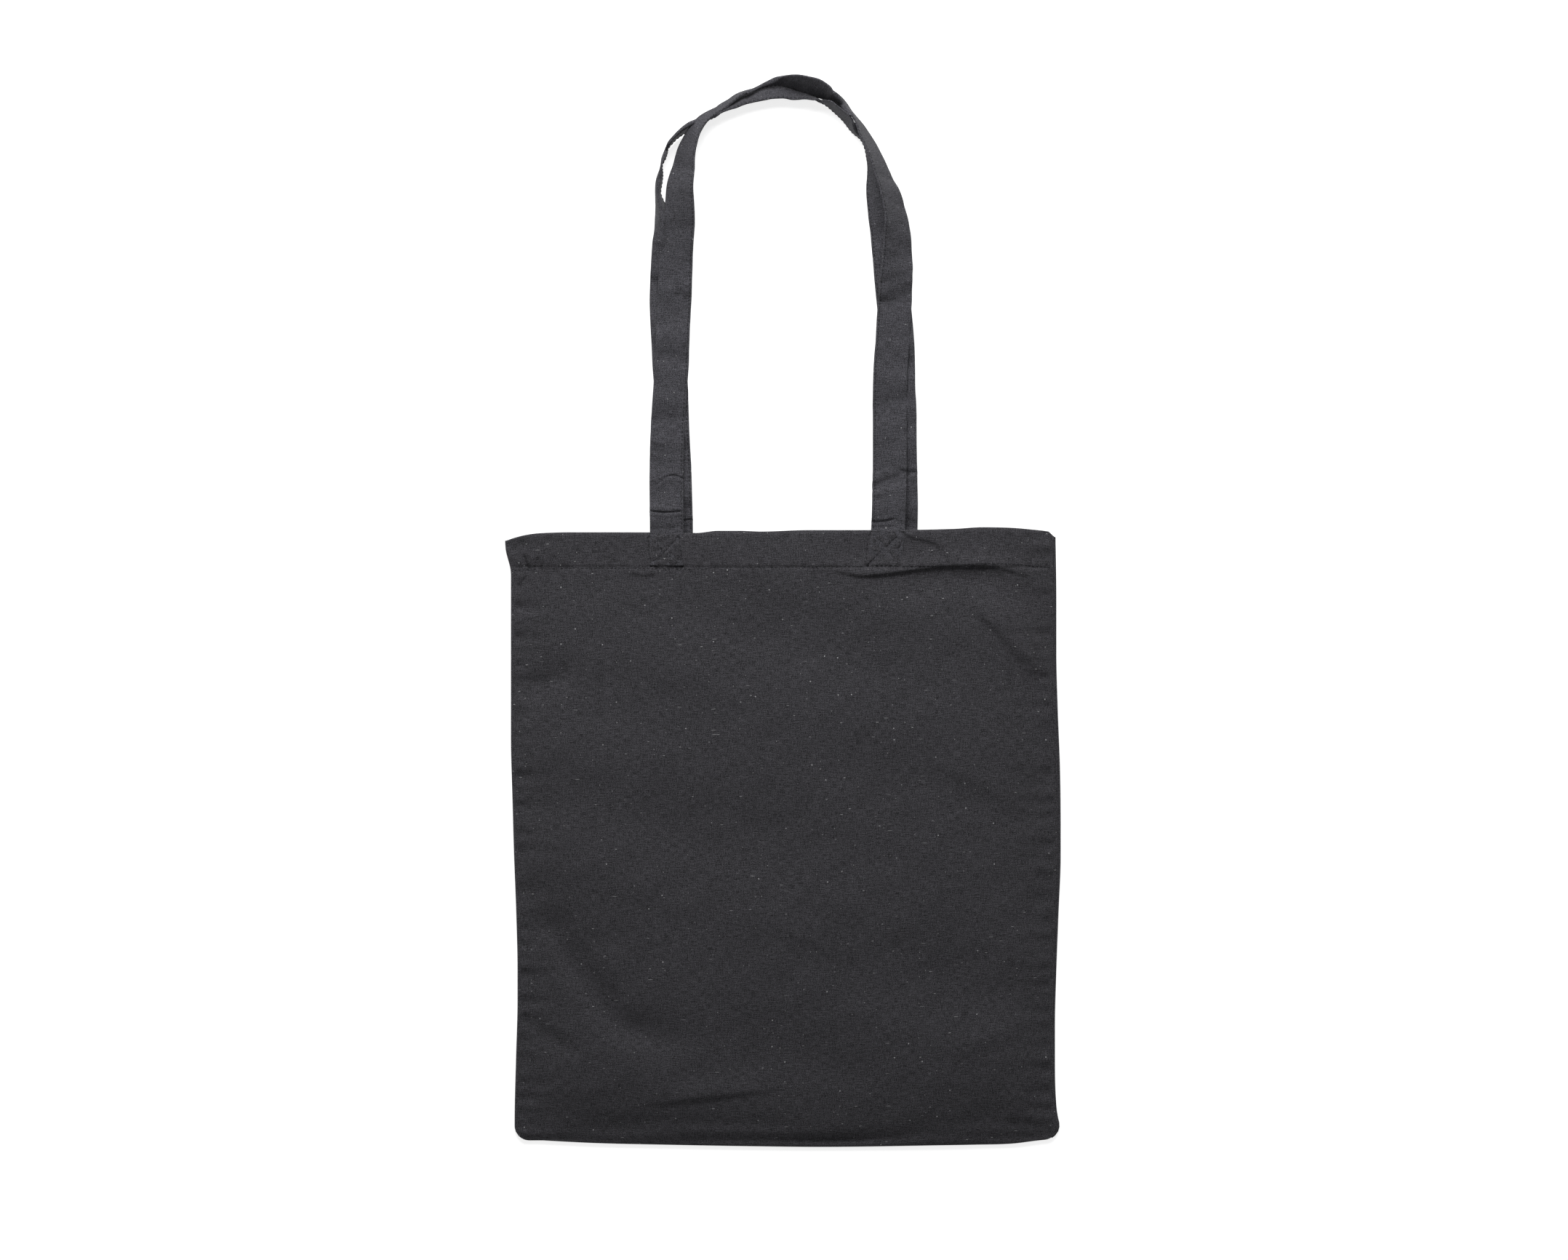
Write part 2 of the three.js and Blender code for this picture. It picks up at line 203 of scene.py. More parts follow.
@dataclass(frozen=True)
class ClothFinish:
    """Matte plain-weave cotton with slubs, grain and white lint."""

    name: str
    slot: Slot
    colour: tuple[float, float, float]
    thread_pitch: float = 0.52  # millimetres from one thread to the next
    grain: float = 5.2  # how far single threads differ in tone
    slub: float = 2.5  # how far thick and thin stretches of thread differ in tone
    mottle: float = 0.25  # how far the tone drifts over the cloth
    rubbed_and_highlit: float = 0.35  # how much lighter the cloth is painted on its rolled edges, for rubbing and a painted highlight
    relief: float = 0.5
    relief_depth: float = 0.14  # millimetres
    roughness: float = 0.94
    gloss: float = 0.18
    sheen: float = 0.04
    sheen_roughness: float = 0.6
    lint_colour: tuple[float, float, float] = (0.27, 0.27, 0.275)
    lint: tuple[Lint, ...] = (
        Lint(4.3, 0.32, 0.06, 0.8),
        Lint(9.7, 0.45, 0.07, 1.6),
        Lint(3.7, 0.22, 0.04, 1.0, 0.3, 0.5),
        Lint(3.1, 0.17, 0.025, 1.0, 0.16, -1.1),
        Lint(2.9, 0.2, 0.03, 0.6, 0.12),
    )

    def _specks(self, kit: NodeKit, place: Signal, lint: Lint) -> Signal:
        """Scatters specks of one kind of lint, each with its own strength.

        Args:
            kit: adds the nodes.
            place: place on the cloth in millimetres.
            lint: the kind of lint.

        Returns:
            The speck's strength on it, and 0 elsewhere.
        """
        drawn = kit.stretched(place, (lint.squeeze, 1.0), lint.turn)
        values = {"Vector": drawn, "Scale": 1 / lint.spacing}
        settings = {"voronoi_dimensions": "2D", "feature": "F1"}
        near = kit.add("ShaderNodeTexVoronoi", settings, values, "Distance")
        colour = kit.add("ShaderNodeTexVoronoi", settings, values, "Color")
        chance = kit.add("ShaderNodeSeparateColor", {}, {"Color": colour}, "Red")
        strength = kit.add("ShaderNodeSeparateColor", {}, {"Color": colour}, "Green")
        speck = near.below(lint.size / lint.spacing) * chance.below(lint.kept)
        return lint.strength * (speck * strength)

    def material(self) -> bpy.types.Material:
        """Makes the finish's node material.

        Returns:
            The material.
        """
        made = bpy.data.materials.new(self.name)
        made.use_nodes = True
        kit = NodeKit(made.node_tree)
        shader = made.node_tree.nodes["Principled BSDF"]
        place = kit.add("ShaderNodeUVMap", {"uv_map": CLOTH_MAP}, {}, "UV")
        across = kit.add("ShaderNodeSeparateXYZ", {}, {"Vector": place}, "X")
        along = kit.add("ShaderNodeSeparateXYZ", {}, {"Vector": place}, "Y")
        drift = kit.noise(place, 0.35) * 1.6
        turn = math.pi / self.thread_pitch
        weave = (across * turn + drift).sine() * (along * turn + drift).sine()
        weft = kit.noise(kit.stretched(place, (0.16, 1.7)), 1.0)
        warp = kit.noise(kit.stretched(place, (1.7, 0.2)), 1.0)
        grain = kit.noise(place, 1.7, detail=2.0)
        mottle = kit.noise(place, 0.022, detail=3.0)
        tone = (
            1.0
            + self.slub * (weft - 0.5)
            + 0.8 * self.slub * (warp - 0.5)
            + self.grain * (grain - 0.5)
            + self.mottle * (mottle - 0.5)
            # painted shade: the weave term darkens the colour in the gaps between the threads
            + 0.12 * weave
        )
        # painted highlight and rubbing: the cloth is lighter where the wear attribute is high
        worn_and_highlit = kit.add("ShaderNodeAttribute", {"attribute_name": WEAR_AND_HIGHLIGHT}, {}, "Fac")
        shade = kit.add(
            "ShaderNodeVectorMath",
            {"operation": "SCALE"},
            {0: self.colour, "Scale": tone.over(0.2) + self.rubbed_and_highlit * worn_and_highlit},
        )
        fluff = self._specks(kit, place, self.lint[0])
        for lint in self.lint[1:]:
            fluff = fluff + self._specks(kit, place, lint)
        cover = kit.colour_mix(fluff.held(), shade, (*self.lint_colour, 1))
        relief = 0.45 * weave + 0.9 * weft + 0.5 * warp + 0.9 * grain
        bumped = kit.add(
            "ShaderNodeBump",
            {},
            {"Strength": self.relief, "Distance": self.relief_depth * MM, "Height": relief},
        )
        for name, signal in (("Base Color", cover), ("Normal", bumped)):
            kit.tree.links.new(signal.socket, shader.inputs[name])
        shader.inputs["Roughness"].default_value = self.roughness
        shader.inputs["Specular IOR Level"].default_value = self.gloss
        shader.inputs["Sheen Weight"].default_value = self.sheen
        shader.inputs["Sheen Roughness"].default_value = self.sheen_roughness
        return made


@dataclass(frozen=True)
class ThreadFinish:
    """Twisted sewing thread."""

    name: str
    slot: Slot
    colour: tuple[float, float, float]
    twist_pitch: float = 0.35  # millimetres between two turns of the twist
    twist_depth: float = 0.06  # millimetres
    roughness: float = 0.7
    gloss: float = 0.3

    def material(self) -> bpy.types.Material:
        """Makes the finish's node material.

        Returns:
            The material.
        """
        made = bpy.data.materials.new(self.name)
        made.use_nodes = True
        kit = NodeKit(made.node_tree)
        shader = made.node_tree.nodes["Principled BSDF"]
        place = kit.add("ShaderNodeUVMap", {"uv_map": CLOTH_MAP}, {}, "UV")
        across = kit.add("ShaderNodeSeparateXYZ", {}, {"Vector": place}, "X")
        along = kit.add("ShaderNodeSeparateXYZ", {}, {"Vector": place}, "Y")
        twist = ((across + along) * (2 * math.pi / self.twist_pitch)).sine()
        fuzz = kit.noise(place, 2.0)
        tone = 1.0 + 0.18 * twist + 0.5 * (fuzz - 0.5)
        shade = kit.add("ShaderNodeVectorMath", {"operation": "SCALE"}, {0: self.colour, "Scale": tone})
        bumped = kit.add(
            "ShaderNodeBump", {}, {"Strength": 0.5, "Distance": self.twist_depth * MM, "Height": twist}
        )
        for name, signal in (("Base Color", shade), ("Normal", bumped)):
            kit.tree.links.new(signal.socket, shader.inputs[name])
        shader.inputs["Roughness"].default_value = self.roughness
        shader.inputs["Specular IOR Level"].default_value = self.gloss
        return made


@dataclass(frozen=True)
class Wardrobe:
    """The three finishes of the bag, made once."""

    canvas: ClothFinish = ClothFinish("canvas_cloth", Slot.CANVAS, (0.0358, 0.0347, 0.0389))
    webbing: ClothFinish = ClothFinish(
        "strap_cloth", Slot.WEBBING, (0.0436, 0.0428, 0.0488), mottle=0.35, slub=2.2
    )
    thread: ThreadFinish = ThreadFinish("sewing_thread", Slot.THREAD, (0.013, 0.013, 0.015))

    def dress(self, piece: bpy.types.Object, finish: "ClothFinish | ThreadFinish") -> None:
        """Gives a piece its finish and reports it.

        Args:
            piece: the piece to dress.
            finish: its finish, whose material is made when it is first used.
        """
        made = bpy.data.materials.get(finish.name) or finish.material()
        piece.data.materials.append(made)
        log.info("%s: %d faces, finish %s", piece.name, len(piece.data.polygons), finish.name)


# ---------------------------------------------------------------------------------------------
# Numbers and meshes


def eased(share: Array) -> Array:
    """A smooth step from 0 to 1 as share goes from 0 to 1."""
    held = np.clip(share, 0, 1)
    return held * held * (3 - 2 * held)


def curve_through(knots: Sequence[float], values: Array, at: Array, flat: bool = True) -> Array:
    """A smooth curve through stations.

    Args:
        knots: rising places of the stations.
        values: one value, or one row of values, at each station.
        at: places to read the curve at; beyond the ends it keeps the end values.
        flat: whether the curve stays between its stations, without overshoot.

    Returns:
        The curve's values at those places.
    """
    knots = np.asarray(knots, float)
    values = np.asarray(values, float)
    columns = values.reshape(len(knots), -1)
    step = np.diff(knots)[:, None]
    rise = np.diff(columns, axis=0) / step
    slope = np.zeros_like(columns)
    slope[1:-1] = (rise[:-1] * step[1:] + rise[1:] * step[:-1]) / (step[1:] + step[:-1])
    slope[0], slope[-1] = rise[0], rise[-1]
    if flat:
        steady = rise[:-1] * rise[1:] > 0
        limit = 3 * np.minimum(np.abs(rise[:-1]), np.abs(rise[1:]))
        slope[1:-1] = np.where(steady, np.clip(slope[1:-1], -limit, limit), 0)
    at = np.asarray(at, float)
    held = np.clip(at.ravel(), knots[0], knots[-1])
    i = np.clip(np.searchsorted(knots, held, side="right") - 1, 0, len(knots) - 2)
    width = step[i, 0]
    t = ((held - knots[i]) / width)[:, None]
    width = width[:, None]
    out = (
        (2 * t**3 - 3 * t**2 + 1) * columns[i]
        + (t**3 - 2 * t**2 + t) * width * slope[i]
        + (3 * t**2 - 2 * t**3) * columns[i + 1]
        + (t**3 - t**2) * width * slope[i + 1]
    )
    return out.reshape(at.shape + values.shape[1:])


@dataclass(frozen=True)
class Ripple:
    """Soft random waves over the cloth, the same ones every time."""

    height: float  # millimetres
    shortest: float
    longest: float
    seed: int
    waves: int = 14
    stretch: tuple[float, float] = (1.0, 1.0)  # how much longer the waves are across and along

    def at(self, x: Array, y: Array) -> Array:
        """Height of the waves.

        Args:
            x: places across the cloth, in millimetres.
            y: places along it.

        Returns:
            The height at each place, in millimetres.
        """
        draw = np.random.default_rng(self.seed)
        total = np.zeros_like(x)
        for _ in range(self.waves):
            length = draw.uniform(self.shortest, self.longest)
            turn = draw.uniform(0, math.pi)
            phase = draw.uniform(0, 2 * math.pi)
            across = math.cos(turn) / self.stretch[0]
            along = math.sin(turn) / self.stretch[1]
            total += np.cos(2 * math.pi / length * (x * across + y * along) + phase)
        return self.height * total / math.sqrt(self.waves / 2)


@dataclass(frozen=True)
class Fold:
    """A ridge or groove pressed into the cloth along a curve, with a width on each side of it."""

    points: tuple[tuple[float, float], ...]  # from the bag's middle line, and below its mouth
    height: float  # millimetres, down if negative
    above: float  # width on the side towards the mouth
    below: float  # width on the side away from it
    fade: float = 0.3  # share of the length over which each end dies away

    def height_at(self, x: Array, depth: Array) -> Array:
        """Height of the fold at each place.

        Args:
            x: places across the bag.
            depth: places below the mouth.

        Returns:
            The height to add, in millimetres.
        """
        points = np.array(self.points, float)
        knots = np.arange(len(points))
        line = curve_through(knots, points, np.linspace(0, len(points) - 1, 8 * len(points)), False)
        reach = 3 * max(self.above, self.below)
        low, high = line.min(0) - reach, line.max(0) + reach
        near = (x > low[0]) & (x < high[0]) & (depth > low[1]) & (depth < high[1])
        out = np.zeros_like(x)
        if not near.any():
            return out
        place = np.stack([x[near], depth[near]], axis=1)
        length = np.concatenate([[0], np.cumsum(np.linalg.norm(np.diff(line, axis=0), axis=1))])
        best = np.full(len(place), np.inf)
        side = np.zeros(len(place))
        share = np.zeros(len(place))
        for i, (a, b) in enumerate(zip(line[:-1], line[1:])):
            d = b - a
            t = np.clip((place - a) @ d / max(d @ d, 1e-9), 0, 1)
            away = place - a - t[:, None] * d
            far = np.hypot(away[:, 0], away[:, 1])
            closer = far < best
            best = np.where(closer, far, best)
            turn = d[0] * (place[:, 1] - a[1]) - d[1] * (place[:, 0] - a[0])
            side = np.where(closer, turn, side)
            here = (length[i] + t * (length[i + 1] - length[i])) / length[-1]
            share = np.where(closer, here, share)
        width = np.where(side > 0, self.below, self.above)
        ends = eased(share / self.fade) * eased((1 - share) / self.fade)
        out[near] = self.height * ends * np.exp(-((best / width) ** 2))
        return out


def grid_quads(rows: int, columns: int, first: int = 0) -> Array:
    """Faces of a grid whose points run along its columns first.

    Args:
        rows: number of rows of points.
        columns: number of points in a row.
        first: number of the grid's first point.

    Returns:
        The four corners of each face.
    """
    i, j = np.meshgrid(np.arange(rows - 1), np.arange(columns - 1), indexing="ij")
    corner = (i * columns + j).ravel() + first
    return np.stack([corner, corner + 1, corner + columns + 1, corner + columns], axis=1)


def grid_normals(points: Array) -> Array:
    """Unit normals of a grid of points.

    Args:
        points: the grid, with shape (rows, columns, 3).

    Returns:
        Normals of the same shape.
    """
    along = np.gradient(points, axis=0)
    across = np.gradient(points, axis=1)
    normal = np.cross(across, along)
    return normal / np.maximum(np.linalg.norm(normal, axis=2, keepdims=True), 1e-9)


def make_piece(
    name: str,
    points: Array,
    quads: Array,
    flat: Array,
    wear_and_highlight: Array | None = None,
    normals: Array | None = None,
) -> bpy.types.Object:
    """Makes a mesh object from arrays.

    Args:
        name: the piece's name.
        points: its points in millimetres.
        quads: its four-cornered faces; a repeated last corner makes a triangle.
        flat: where each point lies on the flat cloth, in millimetres.
        wear_and_highlight: how much lighter each point is painted, from 0 to 1, for rubbing and a painted
            highlight.
        normals: the shading normal of each point, if the mesh's own aren't right.

    Returns:
        The new object.
    """
    mesh = bpy.data.meshes.new(name)
    faces = [tuple(q) if q[3] != q[2] else tuple(q[:3]) for q in quads.tolist()]
    mesh.from_pydata((points * MM).tolist(), [], faces)
    mesh.polygons.foreach_set("use_smooth", np.ones(len(faces), bool))
    corner = np.zeros(len(mesh.loops), np.int32)
    mesh.loops.foreach_get("vertex_index", corner)
    layer = mesh.uv_layers.new(name=CLOTH_MAP)
    layer.data.foreach_set("uv", flat[corner].astype(np.float32).ravel())
    worn_and_highlit = mesh.attributes.new(WEAR_AND_HIGHLIGHT, "FLOAT", "POINT")
    rubbed_and_highlit = np.zeros(len(points)) if wear_and_highlight is None else wear_and_highlight
    worn_and_highlit.data.foreach_set("value", np.asarray(rubbed_and_highlit, np.float32))
    if normals is not None:
        mesh.normals_split_custom_set_from_vertices(normals.tolist())
    mesh.update()
    piece = bpy.data.objects.new(name, mesh)
    bpy.context.scene.collection.objects.link(piece)
    return piece


@dataclass
class Sheet:
    """A grid of points down the middle of a layer of cloth, which becomes a thin closed solid."""

    middle: Array  # (rows, columns, 3), millimetres
    flat: Array  # (rows, columns, 2), millimetres on the flat cloth
    wear_and_highlight: Array  # (rows, columns), how much lighter each point is painted: rubbing and painted highlight
    thickness: float = 0.45

    def piece(self, name: str, columns: slice = slice(None)) -> bpy.types.Object:
        """Makes the piece, or the part of it that some columns cover.

        Args:
            name: the piece's name.
            columns: the columns to keep.

        Returns:
            The new object.
        """
        normal = grid_normals(self.middle)
        offset = normal * self.thickness / 2
        faces = [(self.middle + offset)[:, columns], (self.middle - offset)[:, columns]]
        rows, count = faces[0].shape[:2]
        points = np.concatenate([f.reshape(-1, 3) for f in faces])
        upper = grid_quads(rows, count)
        lower = grid_quads(rows, count, rows * count)[:, ::-1]
        index = np.arange(rows * count).reshape(rows, count)
        rims = [index[0, ::-1], index[-1], index[:, 0], index[::-1, -1]]
        quads = [upper, lower]
        for rim in rims:
            a, b = rim[:-1], rim[1:]
            quads.append(np.stack([a, b, b + rows * count, a + rows * count], axis=1)[:, ::-1])
        flat = np.tile(self.flat[:, columns].reshape(-1, 2), (2, 1))
        wear_and_highlight = np.tile(self.wear_and_highlight[:, columns].ravel(), 2)
        shown = normal[:, columns].reshape(-1, 3)
        normals = np.concatenate([shown, -shown])
        return make_piece(name, points, np.concatenate(quads), flat, wear_and_highlight, normals)


@dataclass(frozen=True)
class StitchRow:
    """A row of lockstitches along a path: short arched threads whose ends dive into the cloth."""

    pitch: float = 2.9
    length: float = 2.4
    radius: float = 0.27
    sides: int = 6

    def points(self, path: Array, up: Array) -> tuple[Array, Array]:
        """Lays stitches along a path.

        Args:
            path: points on the cloth's surface, in millimetres.
            up: the surface's normal at each point.

        Returns:
            The stitches' points and faces.
        """
        run = np.concatenate([[0], np.cumsum(np.linalg.norm(np.diff(path, axis=0), axis=1))])
        count = max(int(run[-1] / self.pitch), 1)
        middles = (np.arange(count) + 0.5) * run[-1] / count
        half = self.length / 2
        ends = []
        for shift in (-half, half):
            ends.append(np.stack([np.interp(middles + shift, run, path[:, k]) for k in range(3)], 1))
        normal = np.stack([np.interp(middles, run, up[:, k]) for k in range(3)], 1)
        normal /= np.linalg.norm(normal, axis=1, keepdims=True)
        ahead = ends[1] - ends[0]
        ahead /= np.maximum(np.linalg.norm(ahead, axis=1, keepdims=True), 1e-9)
        side = np.cross(ahead, normal)
        rings = ((-1.0, 0.05), (-0.86, 0.62), (-0.5, 1.0), (0.0, 1.06), (0.5, 1.0), (0.86, 0.62), (1.0, 0.05))
        turn = np.arange(self.sides) / self.sides * 2 * math.pi
        centre = (ends[0] + ends[1]) / 2
        rows = []
        for place, width in rings:
            sink = self.radius * (0.35 - 1.1 * place * place)
            for a in turn:
                spot = centre + ahead * place * half + normal * (sink + math.sin(a) * self.radius * width)
                rows.append(spot + side * math.cos(a) * self.radius * width)
        points = np.stack(rows, axis=1)
        loops = []
        for ring in range(len(rings) - 1):
            for s in range(self.sides):
                a = ring * self.sides + s
                b = ring * self.sides + (s + 1) % self.sides
                loops.append((a, b, b + self.sides, a + self.sides))
        last = (len(rings) - 1) * self.sides
        for s in range(1, self.sides - 1):
            loops.append((0, s + 1, s, s))
            loops.append((last, last + s, last + s + 1, last + s + 1))
        faces = np.array(loops)
        shift = np.arange(count)[:, None, None] * points.shape[1]
        return points.reshape(-1, 3), (faces[None] + shift).reshape(-1, 4)

    def piece(self, name: str, paths: Sequence[tuple[Array, Array]]) -> bpy.types.Object:
        """Makes one piece of all the stitches along several paths.

        Args:
            name: the piece's name.
            paths: for each path, its points and the surface's normals there.

        Returns:
            The new object.
        """
        points, faces, total = [], [], 0
        for path, up in paths:
            more, quads = self.points(path, up)
            points.append(more)
            faces.append(quads + total)
            total += len(more)
        every = np.concatenate(points)
        return make_piece(name, every, np.concatenate(faces), every[:, :2])


# ---------------------------------------------------------------------------------------------
# The bag's cloth


@dataclass(frozen=True)
class Outline:
    """The bag's edges: where the frame puts them, and how far the cloth wanders from that."""

    left: float
    right: float
    bottom: float
    mouth: float
    top: float  # outer height of the front over its flat middle
    seam: float  # height at which the front and back meet
    corner_radius: float = 10.0

    # Each pair is a place and how far the edge moves there. Side places are below the mouth.
    left_edge: tuple[tuple[float, float], ...] = (
        (0, -2.6), (8, -2.2), (28, 1.5), (145, 1.5), (185, 2.5), (225, 3.6), (268, 5.2),
        (308, 6.1), (330, 6.1), (368, 5.1), (409, 4.1), (428, 4.0),
    )  # fmt: skip
    right_edge: tuple[tuple[float, float], ...] = (
        (0, -0.6), (50, 0.0), (85, 0.0), (126, 1.0), (166, 2.5), (207, 3.0), (228, 3.0),
        (268, 1.5), (308, 0.0), (348, -1.0), (368, -1.0), (409, 0.5), (418, 2.2), (428, 2.0),
    )  # fmt: skip
    mouth_edge: tuple[tuple[float, float], ...] = (
        (-190, -1.6), (-165, -1.4), (-148, -0.9), (-104, -0.9), (-58, -1.4), (-43, 0.1), (-28, 0.1),
        (-13, -0.4), (20, 0.6), (63, 0.6), (108, 1.1), (123, 1.6), (140, 2.6), (162, 2.1),
        (184, 0.1), (190, -0.4),
    )  # fmt: skip
    mouth_corners: tuple[tuple[float, float], ...] = (
        (-190, -5.4), (-183, -3.0), (-171, -0.5), (-160, 0), (180, 0), (186, -0.4), (190, -4.5),
    )  # fmt: skip
    bottom_edge: tuple[tuple[float, float], ...] = (
        (-180, 5.2), (-150, 3.7), (-89, 2.2), (-28, 1.2), (25, 0.7), (108, 1.7), (138, 2.2),
        (169, 3.2), (184, 5.0), (190, 5.6),
    )  # fmt: skip
    right_peek: tuple[tuple[float, float], ...] = (
        (0, 0.8), (25, 2.0), (80, 2.2), (144, 3.5), (184, 2.7), (257, 2.4), (350, 1.4), (428, 1.0),
    )  # fmt: skip
    left_peek: float = 0.25
    corner_reach: float = 14.0  # how far below the mouth its corners' wander is felt

    @classmethod
    def from_frame(cls) -> "Outline":
        """Reads the edges from the frame.

        Returns:
            The outline.
        """
        low, high = (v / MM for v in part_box("front_panel"))
        fold_low, fold_high = (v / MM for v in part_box("bottom_fold"))
        return cls(low.x, high.x, fold_low.y, high.y, high.z, fold_high.z / 2)

    @property
    def half(self) -> float:
        """Half of the bag's width."""
        return (self.right - self.left) / 2

    @property
    def height(self) -> float:
        """The bag's height from its fold to its mouth."""
        return self.mouth - self.bottom

    def place(self, x: Array, y: Array, peek: bool) -> tuple[Array, Array]:
        """Moves points of the plain rectangle to where the real edges put them.

        Args:
            x: places across the plain rectangle.
            y: places along it.
            peek: whether its sides stay in by the strip of the other panel that shows.

        Returns:
            The moved x and y.
        """
        depth = self.mouth - y
        shares = [curve_through(*zip(*pairs), depth) for pairs in (self.left_edge, self.right_edge)]
        if peek:
            shares[0] = shares[0] + self.left_peek
            shares[1] = shares[1] - curve_through(*zip(*self.right_peek), depth)
        above = np.clip(y - self.bottom, 0, self.corner_radius)
        drop = self.corner_radius - above
        narrow = self.corner_radius - np.sqrt(np.maximum(self.corner_radius**2 - drop**2, 0))
        side = (x - self.left) / (self.right - self.left)
        moved_x = x * (1 - narrow / self.half) + shares[0] * (1 - side) + shares[1] * side
        up = (y - self.bottom) / self.height
        ends = curve_through(*zip(*self.mouth_edge), x) * up
        ends = ends + curve_through(*zip(*self.bottom_edge), x) * (1 - up)
        local = curve_through(*zip(*self.mouth_corners), x)
        fading = np.exp(-np.maximum(depth, 0) / self.corner_reach)
        return moved_x, y + ends + local * fading


@dataclass(frozen=True)
class Root:
    """Where a strap end is sewn under the front: its box of stitching, seen from above."""

    x: float  # middle of the box at the mouth
    slant: float  # how far its lower end lies to the right of that
    width: float = 22.0
    top: float = 1.6  # from the mouth to the box's upper row
    low: float = 24.2  # from the mouth to the box's lower row

    def corners(self) -> Array:
        """The corners of the box of stitching.

        Returns:
            Four places across and below the mouth, from the upper left round.
        """
        half = self.width / 2
        x0, x1 = self.x + self.slant * self.top / self.low, self.x + self.slant
        upper = [(x0 - half, self.top), (x0 + half, self.top)]
        lower = [(x1 + half, self.low), (x1 - half, self.low)]
        return np.array(upper + lower)

    def lines(self) -> list[tuple[Array, Array]]:
        """The box's four sides and its two diagonals."""
        c = self.corners()
        return [(c[0], c[1]), (c[1], c[2]), (c[2], c[3]), (c[3], c[0]), (c[0], c[2]), (c[1], c[3])]


@dataclass
class FrontCloth:
    """The front panel with its hem: the sheet that shows most."""

    outline: Outline
    roots: tuple[Root, Root]
    hem_depth: float = 25.0
    step: float = 1.6
    fine_step: float = 0.9
    edge_roll: float = 0.9
    flank: float = 46.0
    flank_power: float = 1.15
    mouth_roll: float = 0.55
    thickness: float = 0.45
    folds: tuple[Fold, ...] = (
        # The heavy fold that hangs over below the hem's right half, and the hollow under it
        Fold(
            (
                (18, 24.5), (36, 26.5), (53, 30.0), (74, 28.6), (95, 25.6), (116, 23.8),
                (147, 24.0), (168, 30.0), (186, 37.6),
            ),
            3.1, 7, 1.4, 0.3,
        ),
        Fold(((60, 38), (110, 34), (150, 36), (184, 50)), -2.2, 7, 12),
        Fold(((-114, 27.6), (-98, 29.4), (-80, 28.6)), 1.1, 5, 1.3, 0.4),
        Fold(((-118, 50), (-100, 57), (-84, 56)), -0.7, 6, 9),
        # The crease that runs from the right box to the heavy fold, and the right corner's crease
        Fold(((80, -2), (90.4, 3.5), (107, 8.1), (113.7, 16.2), (123, 23.5)), 1.5, 9, 1.3, 0.2),
        Fold(((177, 6.4), (187.5, 1.5)), 0.7, 1.2, 4, 0.3),
        # Puckers at the left end of the hem's stitches
        Fold(((-181, 14), (-178, 22), (-175.5, 29)), -1.7, 1.4, 1.4),
        Fold(((-169.4, 17), (-172, 28)), -1.5, 1.3, 1.3),
        Fold(((-165, 21), (-168.6, 28)), -1.1, 1.2, 1.2),
        Fold(((-186, 42), (-181, 36), (-176, 29)), -1.6, 1.4, 1.4),
        Fold(((-190, 27), (-178, 28.5), (-160, 28)), -0.4, 1.2, 1.2),
        # Soft folds of the panel
        Fold(((128, 46), (150, 66), (183, 103)), 3.5, 15, 4.4),
        Fold(((103, 158), (135, 172), (166, 194)), 1.7, 14, 6),
        Fold(((-184, 108), (-160, 104), (-140, 96)), -2.6, 8, 9),
        Fold(((-186, 262), (-160, 276), (-136, 312), (-106, 346), (-52, 355)), -5.4, 13, 10, 0.3),
        Fold(((-186, 338), (-162, 350), (-138, 368)), -2.3, 6, 7),
        Fold(((-118, 400), (-58, 392.6), (14, 384.5)), 2.1, 10, 2.1, 0.4),
        Fold(((-22, 268), (14, 280), (52, 300)), 0.9, 13, 7),
        Fold(((110, 361), (150, 349), (187, 330)), 1.6, 10, 7),
        Fold(((150, 403), (170, 406), (187, 410)), 2.3, 11, 5),
        Fold(((178, 63), (184, 72), (188.5, 83)), 0.4, 1.3, 1.3),
        Fold(((178, 103), (184, 110), (188.5, 118)), 0.4, 1.3, 1.3),
    )  # fmt: skip
    ripples: tuple[Ripple, ...] = (
        Ripple(0.95, 60, 140, 4, stretch=(1.6, 1.0)),
        Ripple(0.18, 18, 34, 8, stretch=(1.5, 1.0)),
    )
    gathers: Ripple = Ripple(1.0, 8, 18, 21, stretch=(9.0, 1.0))  # across the side seams
    gather_reach: float = 11.0
    puckers: Ripple = Ripple(0.34, 4, 10, 31, stretch=(1.0, 4.0))  # along the hem's stitches
    pucker_reach: float = 5.0
    row_groove: tuple[float, float] = (0.7, 0.95)  # depth and width under the hem's stitches
    hem_rise: float = 0.22  # how much higher the doubled hem lies
    tail_rise: float = 0.55  # how much higher the cloth lies over a strap end
    box_groove: tuple[float, float] = (0.75, 1.0)  # depth and width under a box's stitches
    crumple: Ripple = Ripple(0.3, 4, 9, 41)  # inside a box of stitches

    def _insets(self, length: float) -> Array:
        """Places along one side of the grid, crowded where the cloth rolls at an edge.

        Args:
            length: how far the places reach from the edge.

        Returns:
            Distances from the edge, rising.
        """
        roll = self.edge_roll * (1 - np.cos(np.linspace(0, math.pi / 2, 5)))
        ramp = self.edge_roll + np.array([0.7, 1.6])
        count = math.ceil((length - ramp[-1]) / self.step)
        return np.concatenate([roll, ramp[:-1], np.linspace(ramp[-1], length, count)])

